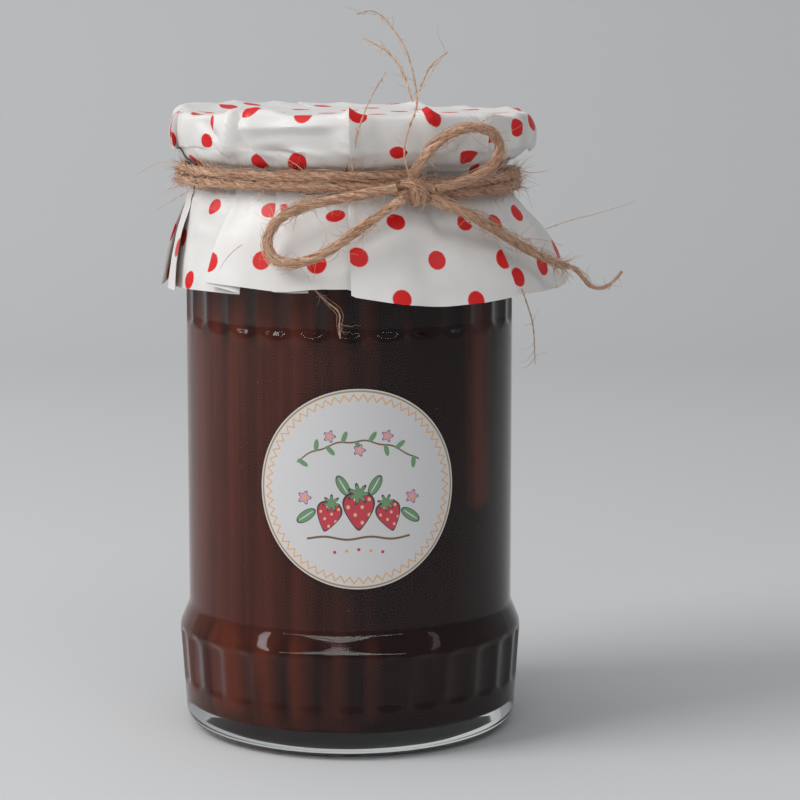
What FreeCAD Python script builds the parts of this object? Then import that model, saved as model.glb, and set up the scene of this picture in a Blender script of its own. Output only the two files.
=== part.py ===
import FreeCAD, Part
import Sketcher
import math
import os

# A jar of strawberry jam: a ribbed glass preserving jar with its screw lid under a pleated cover of
# coated paper, two turns of jute twine tied in a bow, and a round label.
# Millimetres. The jar stands on Z = 0 round the Z axis. Its front faces -Y, and +X is to the right.

# Each size: its name, its value and what it is.
SIZES = [
    ("body_diameter", 85.0, "outside of the straight glass wall"),
    ("jar_height", 158.9, "height of the glass rim"),
    ("band_step", 2.5, "how far the thick band at the foot stands out from that wall"),
    ("band_taper", 1.8, "how far the band draws in again towards the bottom"),
    ("band_top", 27.0, "height of the band's upper edge"),
    ("band_slope", 6.0, "height of the slope from the band in to the wall"),
    ("foot_round", 5.4, "rounding of the foot"),
    ("foot_ring_width", 3.0, "width of the ring that the jar stands on"),
    ("push_up", 1.6, "how far the bottom is raised inside that ring"),
    ("shoulder_step", 2.3, "how far the neck is set in from the wall"),
    ("shoulder_slope", 5.0, "height of the slope from the wall in to the neck"),
    ("neck_height", 11.0, "height of the twine's middle above the shoulder"),
    ("ring_step", 0.8, "how far the ring that the twine is tied round stands out from the neck"),
    ("neck_ring_height", 10.6, "height of that ring"),
    ("neck_ring_taper", 1.0, "height of the ring's sloping edges"),
    ("finish_step", 1.5, "how far the glass inside the lid is set in from that ring"),
    ("glass_wall", 2.8, "thickness of the glass wall"),
    ("glass_floor", 4.6, "thickness of the glass bottom"),
    ("edge_round", 4.6, "rounding of the edges of band, wall and shoulder"),
    ("floor_round", 6.0, "rounding of the inside at the floor"),
    ("rim_round", 1.0, "rounding of the glass rim"),
    ("flutes", 28, "number of hollow flutes round the jar"),
    ("flute_depth", 0.8, "how deep a flute is cut"),
    ("flute_radius", 14.6, "radius of a flute's hollow"),
    ("scoop_length", 3.4, "height of the slope at a flute's end"),
    ("scoop_reach", 1.7, "how far that slope comes out"),
    ("low_flute_bottom", 10.8, "lower end of the flutes on the band"),
    ("low_flute_over", 2.0, "how far those flutes run past the band's upper edge"),
    ("high_flute_length", 28.6, "length of the flutes that end at the shoulder"),
    ("headspace", 9.9, "how far the jam's surface is below the glass rim"),
    ("lid_room", 2.2, "room between the glass and the lid's wall, for the thread"),
    ("lid_skirt", 7.9, "how far the lid's wall reaches below the glass rim"),
    ("lid_sheet", 0.9, "thickness of the lid's metal and lining"),
    ("lid_round", 1.2, "rounding of the lid's upper edge"),
    ("fit_gap", 0.1, "room between pieces that lie on each other"),
    ("paper", 0.5, "thickness of the paper cover"),
    ("cover_slack", 2.4, "how far the cover stands out from the lid's wall"),
    ("cover_shift", 0.8, "how far the cover sits to the right of the jar"),
    ("crown_rise", 2.6, "how far the cover's edge rises above the lid at most"),
    ("crown_width", 14.0, "how far in from the edge that rise reaches"),
    ("tie_drop", 6.0, "how far below the lid's wall the twine's turns have their middle"),
    ("tie_band", 7.8, "height of the stretch that the twine presses flat"),
    ("skirt_drop", 24.8, "how far the cover hangs below that stretch"),
    ("skirt_flare", 9.6, "how far the hem stands out from that stretch"),
    ("skirt_lean", 4.2, "how much more than that on the right, and less on the left"),
    ("twine_diameter", 2.4, "thickness of the twine"),
    ("twine_turns", 2.0, "turns of twine round the neck"),
    ("turn_gap", 0.2, "room between one turn of twine and the next"),
    ("knot_angle", 20.0, "place of the knot, in degrees to the right of the front"),
    ("knot_width", 8.8, "the knot's size along the twine"),
    ("knot_height", 7.4, "the knot's size upwards"),
    ("knot_depth", 5.6, "the knot's size outwards"),
    ("knot_band", 1.6, "thickness of the strand across the knot"),
    ("knot_sag", 1.0, "how far the knot hangs below the middle of the turns"),
    ("strand_diameter", 0.6, "thickness of a loose strand of the twine"),
    ("curl_diameter", 1.1, "thickness of the curled strand at the tail's end"),
    ("label_diameter", 50.6, "the round label, laid flat"),
    ("label_height", 69.6, "height of the label's middle"),
    ("label_angle", 2.9, "place of the label, in degrees to the right of the front"),
    ("label_sheet", 0.2, "thickness of the label"),
]
# What follows from those sizes: its name, its formula and what it is.
DERIVED = [
    ("base_diameter", "body_diameter + 2 * band_step", "outside of the band at its upper edge"),
    ("foot_diameter", "base_diameter - 2 * band_taper", "outside of the band at the bottom"),
    ("wall_bottom", "band_top + band_slope", "height where the straight wall starts"),
    ("low_flute_top", "band_top + low_flute_over", "upper end of the flutes on the band"),
    ("tie_height", "jar_height - lid_skirt - tie_drop", "height of the middle of the turns"),
    ("shoulder_top", "tie_height - neck_height", "height where the neck starts"),
    ("shoulder_bottom", "shoulder_top - shoulder_slope", "height where the wall turns in"),
    ("high_flute_bottom", "shoulder_top - high_flute_length", "lower end of the upper flutes"),
    ("neck_diameter", "body_diameter - 2 * shoulder_step", "outside of the neck"),
    ("neck_ring_diameter", "neck_diameter + 2 * ring_step", "outside of the ring at the tie"),
    ("finish_diameter", "neck_ring_diameter - 2 * finish_step", "outside of the glass in the lid"),
    ("lid_diameter", "finish_diameter + 2 * (lid_room + lid_sheet)", "outside of the lid"),
    ("jam_level", "jar_height - headspace", "height of the jam's surface"),
    ("twine_pitch", "twine_diameter + turn_gap", "height from one turn to the next"),
]

# The paper's folds round the cover: degrees to the right of the front, and how far the paper stands
# out there, as a share of the full lift. Two entries close together are the edge of a pleat.
FOLDS = [
    (-171, 0.3), (-160, 0.9), (-157, 0.1), (-144, 0.4), (-134, 1.0), (-131, 0.1), (-118, 0.3),
    (-109, 0.9), (-106, 0.0), (-96, 0.3), (-88, 1.0), (-85, 0.3), (-78, 0.9), (-75, 0.0),
    (-66, 0.4), (-57, 0.2), (-44, 0.1), (-41, 0.9), (-30, 0.8), (-21, 0.6), (-17, 0.0),
    (-8, 0.1), (-1, 0.0), (1, 0.9), (14, 0.6), (32, 0.5), (51, 0.8), (54, 0.0),
    (66, 0.2), (80, 0.9), (89, 1.0), (92, 0.1), (104, 0.4), (115, 0.9), (118, 0.1),
    (130, 0.4), (141, 1.0), (144, 0.1), (156, 0.3), (167, 0.9), (170, 0.1), (180, 0.2),
]
# How far the cover's upper edge rises above the lid, as a share of the full rise, by angle.
CROWN = [
    (-170, 0.3), (-150, 0.8), (-130, 1.0), (-108, 0.5), (-90, 0.2), (-60, 0.4), (-35, 0.9),
    (0, 1.0), (35, 0.8), (60, 0.4), (90, 0.2), (135, 0.1),
]
# How far the hem is cut short, in millimetres, by angle.
HEM_RISE = [
    (-170, 1.0), (-140, 0.0), (-110, 1.5), (-88, 0.0), (-76, 0.0), (-60, 1.6), (-44, 2.4),
    (-41, 4.8), (-20, 3.6), (-17, 1.2), (-1, 1.4), (1, 1.2), (20, 0.0), (51, 0.2), (54, 1.4),
    (84, 0.0), (110, 1.4), (150, 0.4),
]
# Levels of the cover's side: the share of the way down from its edge to the pressed stretch, how far
# it stands out there as a share of the slack, and the full lift of the folds.
SIDE_LEVELS = [
    (0.00, 0.94, 0.0),
    (0.12, 1.12, 0.3),
    (0.50, 1.06, 1.0),
    (0.86, 0.80, 0.9),
]
# The same for the skirt: the share of the way down, the share of the flare, and the lift.
SKIRT_LEVELS = [
    (0.15, 0.12, 0.5),
    (0.55, 0.54, 1.5),
    (1.00, 1.00, 2.2),
]
# The cover's rings have a point at each fold and at every so many degrees.
RING_STEP = 5

# Free twine: each point is millimetres to the right of the knot, measured round the line of the
# twine's turns, millimetres out from that line, and millimetres up from the turns' middle.
LOOP_RIGHT = [
    (-0.7, 5.0, 3.1), (0.0, 7.8, 6.6), (2.2, 10.4, 11.0), (6.0, 11.4, 13.8), (10.5, 11.8, 14.8),
    (14.6, 11.6, 13.6), (17.2, 11.2, 10.8), (18.0, 10.4, 7.2), (15.7, 8.6, 3.6), (11.6, 6.8, 0.9),
    (4.6, 5.0, -0.6),
]
LOOP_LEFT = [
    (-3.4, 6.0, -3.0), (-8.7, 7.8, -5.8), (-13.0, 8.8, -9.2), (-17.2, 9.4, -12.6),
    (-21.7, 9.8, -15.6), (-26.2, 9.5, -17.4), (-29.9, 9.2, -16.6), (-31.7, 8.6, -13.8),
    (-30.7, 7.6, -10.0), (-27.0, 6.3, -6.2), (-21.4, 5.4, -3.9), (-14.2, 5.2, -2.2),
    (-9.0, 4.9, -1.0), (-4.6, 4.6, -0.3),
]
TAIL_RIGHT = [
    (3.1, 6.0, -3.0), (7.9, 8.0, -5.4), (14.2, 9.6, -9.2), (21.7, 10.3, -13.9), (29.9, 12.0, -18.7),
    (36.7, 15.0, -21.8),
]
CURL = [
    (37.2, 15.6, -22.0), (38.8, 17.0, -22.4), (40.3, 17.9, -23.8), (41.6, 18.8, -25.8),
    (42.8, 20.6, -28.0), (44.2, 23.0, -28.8), (45.5, 25.8, -27.4), (46.4, 28.0, -24.4),
]
STRAND_TALL = [
    (-1.9, 6.0, 2.7), (-4.0, 8.0, 8.0), (-3.0, 8.7, 14.1), (-0.7, 7.8, 19.3), (0.0, 4.9, 23.8),
    (0.0, 1.8, 29.0), (-0.7, -0.5, 33.6), (-3.0, -3.3, 38.0), (-5.5, -5.4, 41.4),
    (-9.3, -6.6, 42.9), (-12.7, -6.9, 41.6),
]
STRAND_LEFT = [
    (-1.5, 7.0, 20.8), (-2.2, 4.7, 25.7), (-3.7, 2.6, 30.3), (-6.7, -0.1, 33.8),
    (-11.2, -2.8, 35.9),
]
STRAND_RIGHT = [
    (0.4, 5.6, 23.4), (1.9, 4.9, 26.6), (3.7, 4.5, 30.0), (7.5, 5.4, 32.6),
]
STRAND_SHORT = [
    (-14.2, 1.6, 3.4), (-13.9, 4.8, 7.0), (-13.5, 5.6, 12.2), (-12.0, 5.2, 17.4), (-9.7, 4.5, 22.9),
    (-6.7, 4.0, 27.9),
]
STRAND_LOW = [
    (-23.2, 1.6, -25.3), (-20.5, 1.8, -28.2), (-16.9, 1.6, -30.8), (-17.7, 1.4, -34.4),
    (-17.2, 0.6, -37.4),
]
STRAND_HEM = [
    (25.5, 10.3, -26.6), (26.2, 11.4, -30.2), (27.7, 12.0, -35.1), (28.5, 12.0, -40.5),
    (28.5, 12.1, -45.9),
]

# A corner of a route is rounded with this share of its shorter run.
ARC_SHARE = 0.45
# How far a tube's volume may be from its section times its length.
VOLUME_TOLERANCE = 0.01
# How far the strand across the knot leans, in degrees from lying flat.
KNOT_STRAND_LEAN = 70

doc = FreeCAD.newDocument("jam_jar")
sheet = doc.addObject("Spreadsheet::Sheet", "Sizes")
formulas = [(alias, f"={formula}", meaning) for alias, formula, meaning in DERIVED]
for row, (alias, value, meaning) in enumerate(SIZES + formulas, start=1):
    sheet.set(f"A{row}", alias)
    sheet.set(f"B{row}", str(value))
    sheet.set(f"C{row}", meaning)
    sheet.setAlias(f"B{row}", alias)
doc.recompute()


def value_of(expression):
    """The number that an expression on the sheet's cells comes to, in millimetres."""
    result = sheet.evalExpression(expression)
    return float(getattr(result, "Value", result))


# ---- Revolved bodies ----

def origin_feature(body, role):
    """The body's own plane or axis of that role."""
    return next(item for item in body.Origin.OriginFeatures if item.Role == role)


def profile(body, name, corners, axis=None):
    """A closed outline in the XZ plane, with a corner for each pair of expressions.

    "0" puts a corner on an axis of the jar. axis is the two ends of an axis line of the sketch's own.
    """
    sketch = body.newObject("Sketcher::SketchObject", name)
    sketch.AttachmentSupport = [(origin_feature(body, "XZ_Plane"), "")]
    sketch.MapMode = "FlatFace"
    places = [place_of(corner) for corner in corners]
    for start, end in zip(places, places[1:] + places[:1], strict=True):
        sketch.addGeometry(Part.LineSegment(start, end), False)
    for i, corner in enumerate(corners):
        following = (i + 1) % len(corners)
        sketch.addConstraint(Sketcher.Constraint("Coincident", i, 2, following, 1))
        bind(sketch, i, 1, corner)
    if axis:
        start, end = axis
        line = sketch.addGeometry(Part.LineSegment(place_of(start), place_of(end)), True)
        bind(sketch, line, 1, start)
        bind(sketch, line, 2, end)
    return sketch


def place_of(corner):
    """The sketch point that a pair of expressions comes to."""
    across, upward = corner
    return FreeCAD.Vector(value_of(across), value_of(upward), 0)


def bind(sketch, line, end, corner):
    """Ties one end of a line (1 its start, 2 its end) to a pair of expressions."""
    for kind, axis, expression in zip(("DistanceX", "DistanceY"), (-2, -1), corner, strict=True):
        if expression == "0":
            sketch.addConstraint(Sketcher.Constraint("PointOnObject", line, end, axis))
        else:
            constraint = Sketcher.Constraint(kind, -1, 1, line, end, value_of(expression))
            index = sketch.addConstraint(constraint)
            sketch.setExpression(f"Constraints[{index}]", expression)


def turned(body, kind, name, sketch, axis):
    """A full turn of a sketch, added to the body (Revolution) or cut from it (Groove)."""
    feature = body.newObject(f"PartDesign::{kind}", name)
    feature.Profile = sketch
    feature.ReferenceAxis = axis
    feature.Angle = 360
    doc.recompute()
    return feature


def rounded(body, name, base, places, radius):
    """Rounds the circular edges of a revolved feature that lie at these (radius, height) places."""
    wanted = [(value_of(x), value_of(z)) for x, z in places]
    names = []
    for number, edge in enumerate(base.Shape.Edges, start=1):
        if not isinstance(edge.Curve, Part.Circle):
            continue
        at = (edge.Curve.Radius, edge.Curve.Center.z)
        if any(math.dist(at, place) < 1e-4 for place in wanted):
            names.append(f"Edge{number}")
    feature = body.newObject("PartDesign::Fillet", name)
    feature.Base = (base, names)
    feature.setExpression("Radius", radius)
    doc.recompute()
    return feature


# Places in the jar's outline that more than one piece uses.
FOOT = ("Sizes.foot_diameter / 2", "0")
BAND = ("Sizes.base_diameter / 2", "Sizes.band_top")
WALL_LOW = ("Sizes.body_diameter / 2", "Sizes.wall_bottom")
WALL_HIGH = ("Sizes.body_diameter / 2", "Sizes.shoulder_bottom")
NECK_LOW = ("Sizes.neck_diameter / 2", "Sizes.shoulder_top")
RIM = ("Sizes.finish_diameter / 2", "Sizes.jar_height")
RING_LOW = "Sizes.tie_height - Sizes.neck_ring_height / 2"
RING_HIGH = "Sizes.tie_height + Sizes.neck_ring_height / 2"
RING_RADIUS = "Sizes.neck_ring_diameter / 2"
FOOT_INSIDE = "Sizes.foot_diameter / 2 - Sizes.foot_round - Sizes.foot_ring_width"

FLOOR = ("Sizes.foot_diameter / 2 - Sizes.glass_wall", "Sizes.push_up + Sizes.glass_floor")
BAND_INSIDE = ("Sizes.base_diameter / 2 - Sizes.glass_wall", "Sizes.band_top")
WALL_LOW_INSIDE = ("Sizes.body_diameter / 2 - Sizes.glass_wall", "Sizes.wall_bottom")
WALL_HIGH_INSIDE = ("Sizes.body_diameter / 2 - Sizes.glass_wall", "Sizes.shoulder_bottom")
MOUTH = "Sizes.finish_diameter / 2 - Sizes.glass_wall"
NECK_INSIDE = (MOUTH, "Sizes.shoulder_top")


def inside_outline(top):
    """The corners of the jar's inside, from the middle of its floor up to a height."""
    return [
        ("0", FLOOR[1]),
        FLOOR,
        BAND_INSIDE,
        WALL_LOW_INSIDE,
        WALL_HIGH_INSIDE,
        NECK_INSIDE,
        (MOUTH, top),
        ("0", top),
    ]


def inside_rounded(body, base):
    """Rounds the edges of the jar's inside, on the glass or on what fills it."""
    places = [BAND_INSIDE, WALL_LOW_INSIDE, WALL_HIGH_INSIDE, NECK_INSIDE]
    soft = rounded(body, body.Name + "_inside_round", base, places, "Sizes.edge_round")
    return rounded(body, body.Name + "_floor_round", soft, [FLOOR], "Sizes.floor_round")


def flute(body, name, low, high):
    """Cuts one hollow flute at the jar's right, along the wall line from low to high.

    The cut is a bar that lies along the wall, with sloping ends.
    """
    hollow = "Sizes.flute_radius - Sizes.flute_depth"
    axis = [(f"{across} + {hollow}", upward) for across, upward in (low, high)]
    ends = [(f"{across} - Sizes.flute_depth + Sizes.scoop_reach", up) for across, up in (low, high)]
    deep_low = (f"{low[0]} - Sizes.flute_depth", f"{low[1]} + Sizes.scoop_length")
    deep_high = (f"{high[0]} - Sizes.flute_depth", f"{high[1]} - Sizes.scoop_length")
    corners = [axis[0], ends[0], deep_low, deep_high, ends[1], axis[1]]
    sketch = profile(body, name + "_outline", corners, axis)
    return turned(body, "Groove", name, sketch, (sketch, ["Axis0"]))


def band_radius(height):
    """The outside radius of the band at the foot, which tapers down from its upper edge."""
    taper = "(Sizes.base_diameter - Sizes.foot_diameter) / 2 / Sizes.band_top"
    return f"Sizes.foot_diameter / 2 + {taper} * {height}"


def make_jar_glass():
    """The hollow glass jar, with a flute cut twice in each of its 28 panels."""
    body = doc.addObject("PartDesign::Body", "jar_glass")
    upright = (origin_feature(body, "Z_Axis"), [""])
    outside = profile(body, "glass_outline", [
        ("0", "Sizes.push_up"),
        (f"{FOOT_INSIDE} - Sizes.push_up", "Sizes.push_up"),
        (FOOT_INSIDE, "0"),
        FOOT,
        BAND,
        WALL_LOW,
        WALL_HIGH,
        NECK_LOW,
        ("Sizes.neck_diameter / 2", f"{RING_LOW} - Sizes.neck_ring_taper"),
        (RING_RADIUS, RING_LOW),
        (RING_RADIUS, RING_HIGH),
        ("Sizes.finish_diameter / 2", f"{RING_HIGH} + Sizes.neck_ring_taper"),
        RIM,
        ("0", "Sizes.jar_height"),
    ])
    solid = turned(body, "Revolution", "glass_turned", outside, upright)
    edges = [BAND, WALL_LOW, WALL_HIGH, NECK_LOW]
    solid = rounded(body, "glass_edges", solid, edges, "Sizes.edge_round")
    solid = rounded(body, "glass_foot", solid, [FOOT], "Sizes.foot_round")
    inside = profile(body, "glass_hollow", inside_outline("Sizes.jar_height"))
    solid = turned(body, "Groove", "glass_cavity", inside, upright)
    solid = inside_rounded(body, solid)
    rim = [RIM, (MOUTH, "Sizes.jar_height")]
    rounded(body, "glass_rim", solid, rim, "Sizes.rim_round")
    low, high = "Sizes.low_flute_bottom", "Sizes.low_flute_top"
    on_band = flute(body, "low_flute", (band_radius(low), low), (band_radius(high), high))
    wall = WALL_LOW[0]
    under_shoulder = flute(
        body, "high_flute", (wall, "Sizes.high_flute_bottom"), (wall, "Sizes.shoulder_top")
    )
    pattern = body.newObject("PartDesign::PolarPattern", "flutes_round")
    pattern.Originals = [on_band, under_shoulder]
    pattern.Axis = upright
    pattern.Angle = 360
    pattern.setExpression("Occurrences", "Sizes.flutes")
    body.Tip = pattern
    return body


def make_jam():
    """The jam, which fills the glass up to its level."""
    body = doc.addObject("PartDesign::Body", "jam")
    upright = (origin_feature(body, "Z_Axis"), [""])
    outline = profile(body, "jam_outline", inside_outline("Sizes.jam_level"))
    solid = turned(body, "Revolution", "jam_turned", outline, upright)
    inside_rounded(body, solid)
    return body


def make_lid():
    """The screw lid, a cap that rests on the glass rim."""
    body = doc.addObject("PartDesign::Body", "lid")
    upright = (origin_feature(body, "Z_Axis"), [""])
    bottom = "Sizes.jar_height - Sizes.lid_skirt"
    top = "Sizes.jar_height + Sizes.lid_sheet"
    wall_inside = "Sizes.lid_diameter / 2 - Sizes.lid_sheet"
    edge = ("Sizes.lid_diameter / 2", top)
    outline = profile(body, "lid_outline", [
        ("0", "Sizes.jar_height"),
        (wall_inside, "Sizes.jar_height"),
        (wall_inside, bottom),
        ("Sizes.lid_diameter / 2", bottom),
        edge,
        ("0", top),
    ])
    solid = turned(body, "Revolution", "lid_turned", outline, upright)
    rounded(body, "lid_edge", solid, [edge], "Sizes.lid_round")
    return body


# ---- The label ----

def make_label():
    """The round label, cut from a thin sleeve round the straight wall."""
    outer = doc.addObject("Part::Cylinder", "label_outer")
    inner = doc.addObject("Part::Cylinder", "label_inner")
    outer.setExpression("Radius", "Sizes.body_diameter / 2 + Sizes.label_sheet")
    inner.setExpression("Radius", "Sizes.body_diameter / 2")
    for cylinder in (outer, inner):
        cylinder.setExpression("Height", "Sizes.label_diameter")
        cylinder.setExpression("Placement.Base.z", "Sizes.label_height - Sizes.label_diameter / 2")
    sleeve = doc.addObject("Part::Cut", "label_sleeve")
    sleeve.Base = outer
    sleeve.Tool = inner
    rim = doc.addObject("Part::Ellipse", "label_rim")
    rim.setExpression("MajorRadius", "Sizes.label_diameter / 2")
    # wrapped round the wall, the flat circle is narrower than it is high
    wrapped = "Sizes.body_diameter / 2 * sin(1 rad * Sizes.label_diameter / Sizes.body_diameter)"
    rim.setExpression("MinorRadius", wrapped)
    upright = FreeCAD.Rotation(FreeCAD.Vector(0, 0, 1), FreeCAD.Vector(1, 0, 0),
                               FreeCAD.Vector(0, 1, 0), "ZXY")
    rim.Placement = FreeCAD.Placement(FreeCAD.Vector(0, 0, 0), upright)
    rim.setExpression("Placement.Base.z", "Sizes.label_height")
    cutter = doc.addObject("Part::Extrusion", "label_cutter")
    cutter.Base = rim
    cutter.DirMode = "Custom"
    cutter.Dir = FreeCAD.Vector(0, -1, 0)
    cutter.Solid = True
    cutter.setExpression("LengthFwd", "Sizes.body_diameter")
    label = doc.addObject("Part::Common", "label")
    label.Base = sleeve
    label.Tool = cutter
    label.setExpression("Placement.Rotation.Angle", "Sizes.label_angle")
    return label


# ---- The paper cover ----

def at_angle(entries, angle):
    """The value at an angle, straight between the nearest entries of a list that goes all round."""
    before = [(a - 360, v) for a, v in entries[-1:]]
    after = [(a + 360, v) for a, v in entries[:1]]
    around = before + list(entries) + after
    for (low, start), (high, end) in zip(around, around[1:], strict=False):
        if low <= angle <= high:
            return start + (end - start) * (angle - low) / (high - low)
    raise ValueError(f"no entry covers {angle} degrees")


def cover_rings():
    """The cover's outer surface as rings of (angle, radius, height), from its top to its hem."""
    angles = sorted({a for a, _ in FOLDS} | set(range(-175, 181, RING_STEP)))
    lid_radius = value_of("Sizes.lid_diameter / 2")
    slack = value_of("Sizes.cover_slack")
    top = value_of("Sizes.jar_height + Sizes.lid_sheet + Sizes.fit_gap + Sizes.paper")
    pressed = value_of(f"{RING_RADIUS} + Sizes.fit_gap + Sizes.paper")
    band_high = value_of("Sizes.tie_height + Sizes.tie_band / 2")
    band_low = value_of("Sizes.tie_height - Sizes.tie_band / 2")
    rise, width = value_of("Sizes.crown_rise"), value_of("Sizes.crown_width")
    flare, lean = value_of("Sizes.skirt_flare"), value_of("Sizes.skirt_lean")
    drop = value_of("Sizes.skirt_drop")

    rings = [[(a, lid_radius + slack - width, top) for a in angles]]
    for share, out, lift in SIDE_LEVELS:
        ring = []
        for a in angles:
            edge = top + rise * at_angle(CROWN, a)
            radius = lid_radius + slack * out + lift * at_angle(FOLDS, a)
            ring.append((a, radius, edge + (band_high - edge) * share))
        rings.append(ring)
    rings.append([(a, pressed, band_high) for a in angles])
    rings.append([(a, pressed, band_low) for a in angles])
    for share, out, lift in SKIRT_LEVELS:
        ring = []
        for a in angles:
            reach = flare + lean * math.sin(math.radians(a))
            radius = pressed + reach * out + lift * at_angle(FOLDS, a)
            hem = drop - at_angle(HEM_RISE, a)
            ring.append((a, radius, band_low - hem * share))
        rings.append(ring)
    return rings


def cover_points(rings, inward, downward):
    """The rings' points, moved in and down, and shifted with the cover above the pressed stretch."""
    shift = value_of("Sizes.cover_shift")
    shifted = 1 + len(SIDE_LEVELS)
    rows = []
    for number, ring in enumerate(rings):
        aside = shift if number < shifted else 0
        drop = downward if number < 2 else 0
        rows.append([
            FreeCAD.Vector(
                (radius - inward) * math.sin(math.radians(a)) + aside,
                -(radius - inward) * math.cos(math.radians(a)),
                height - drop,
            )
            for a, radius, height in ring
        ])
    return rows


def triangles_between(upper, lower):
    """Triangles that join two rings with the same number of points."""
    count = len(upper)
    for i in range(count):
        j = (i + 1) % count
        yield upper[i], lower[i], lower[j]
        yield upper[i], lower[j], upper[j]


def make_cover():
    """The paper cover: a thin shell with its pleats, open at the bottom."""
    rings = cover_rings()
    paper = value_of("Sizes.paper")
    outer = cover_points(rings, 0, 0)
    inner = cover_points(rings, paper, paper)
    triangles = []
    for rows in (outer, inner):
        middle = FreeCAD.Vector(rows[0][0])
        middle.x, middle.y = value_of("Sizes.cover_shift"), 0
        triangles += [(middle, a, b) for a, b in zip(rows[0], rows[0][1:] + rows[0][:1], strict=True)]
        for upper, lower in zip(rows, rows[1:], strict=False):
            triangles += triangles_between(upper, lower)
    triangles += triangles_between(outer[-1], inner[-1])
    faces = [Part.Face(Part.makePolygon([a, b, c, a])) for a, b, c in triangles]
    shell = Part.makeShell(faces)
    shell.sewShape()
    solid = Part.makeSolid(shell)
    if solid.Volume < 0:
        solid.reverse()
    cover = doc.addObject("Part::Feature", "cover")
    cover.Shape = solid
    cover.Placement = FreeCAD.Placement()
    return cover


# ---- The twine ----

TURNS_RADIUS = f"{RING_RADIUS} + 2 * Sizes.fit_gap + Sizes.paper + Sizes.twine_diameter / 2"
# from +X to the knot's place
KNOT_TURN = "Sizes.knot_angle - 90"


def make_wraps():
    """The turns of twine round the neck, one round bar wound on a helix that starts at the knot."""
    spine = doc.addObject("Part::Helix", "wraps_line")
    spine.setExpression("Radius", TURNS_RADIUS)
    spine.setExpression("Pitch", "Sizes.twine_pitch")
    spine.setExpression("Height", "Sizes.twine_pitch * Sizes.twine_turns")
    section = doc.addObject("Part::Circle", "wraps_section")
    section.setExpression("Radius", "Sizes.twine_diameter / 2")
    across = FreeCAD.Rotation(FreeCAD.Vector(1, 0, 0), 90)
    section.Placement = FreeCAD.Placement(FreeCAD.Vector(0, 0, 0), across)
    section.setExpression("Placement.Base.x", TURNS_RADIUS)
    wraps = doc.addObject("Part::Sweep", "twine_wraps")
    wraps.Sections = [section]
    wraps.Spine = (spine, ["Edge1"])
    wraps.Solid = True
    wraps.Frenet = True
    wraps.setExpression("Placement.Rotation.Angle", KNOT_TURN)
    wraps.setExpression(
        "Placement.Base.z", "Sizes.tie_height - Sizes.twine_pitch * Sizes.twine_turns / 2"
    )
    return wraps


KNOT_OUT = (
    f"{TURNS_RADIUS} + Sizes.twine_diameter / 2 + Sizes.knot_depth / 2 + 2 * Sizes.fit_gap"
)


def make_knot():
    """The knot: a rounded lump, with one strand of the twine laid across it."""
    lump = doc.addObject("Part::Ellipsoid", "knot_lump")
    lump.setExpression("Radius1", "Sizes.knot_height / 2")
    lump.setExpression("Radius2", "Sizes.knot_width / 2")
    lump.setExpression("Radius3", "Sizes.knot_depth / 2")
    across = doc.addObject("Part::Torus", "knot_strand")
    across.setExpression("Radius1", "Sizes.knot_depth / 2 - Sizes.knot_band / 4")
    across.setExpression("Radius2", "Sizes.knot_band / 2")
    standing = FreeCAD.Rotation(FreeCAD.Vector(0, 1, 0), KNOT_STRAND_LEAN)
    across.Placement = FreeCAD.Placement(FreeCAD.Vector(0, 0, 0), standing)
    for piece in (lump, across):
        piece.setExpression("Placement.Base.y", f"-({KNOT_OUT})")
        piece.setExpression("Placement.Base.z", "Sizes.tie_height - Sizes.knot_sag")
    knot = doc.addObject("Part::MultiFuse", "twine_knot")
    knot.Shapes = [lump, across]
    knot.setExpression("Placement.Rotation.Angle", "Sizes.knot_angle")
    return knot


def route_points(route):
    """The points of a free piece of twine, from their places beside, out from and above the knot."""
    turns = value_of(TURNS_RADIUS)
    knot = math.radians(value_of("Sizes.knot_angle"))
    tie = value_of("Sizes.tie_height")
    return [
        FreeCAD.Vector(
            (turns + out) * math.sin(knot + beside / turns),
            -(turns + out) * math.cos(knot + beside / turns),
            tie + up,
        )
        for beside, out, up in route
    ]


def rounded_line(points):
    """Straight runs between the points, joined by arcs as large as the runs allow, and the radii."""
    edges, radii = [], []
    start = points[0]
    for before, corner, after in zip(points, points[1:], points[2:], strict=False):
        back, on = before - corner, after - corner
        shorter = min(back.Length, on.Length)
        half_turn = (math.pi - back.getAngle(on)) / 2
        room = ARC_SHARE * shorter
        radius = room / math.tan(half_turn)
        back.normalize()
        on.normalize()
        arc_start, arc_end = corner + back * room, corner + on * room
        middle = back + on
        middle.normalize()
        centre = corner + middle * (radius / math.cos(half_turn))
        edges.append(Part.LineSegment(start, arc_start).toShape())
        edges.append(Part.Arc(arc_start, centre - middle * radius, arc_end).toShape())
        radii.append(radius)
        start = arc_end
    edges.append(Part.LineSegment(start, points[-1]).toShape())
    return Part.Wire(edges), radii


def make_tube(name, diameter, route):
    """A round bar along a route, with the volume of its section times its length."""
    points = route_points(route)
    line, radii = rounded_line(points)
    section = Part.makeCircle(diameter / 2, points[0], points[1] - points[0])
    tube = line.makePipeShell([Part.Wire([section])], True, False)
    expected = math.pi * diameter**2 / 4 * line.Length
    if abs(tube.Volume / expected - 1) > VOLUME_TOLERANCE:
        raise RuntimeError(f"{name}: volume {tube.Volume:.2f}, and {expected:.2f} was expected")
    print(f"{name}: length {line.Length:.1f}, tightest radius {min(radii):.1f}")
    item = doc.addObject("Part::Feature", name)
    item.Shape = tube
    item.Placement = FreeCAD.Placement()
    return item


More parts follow.
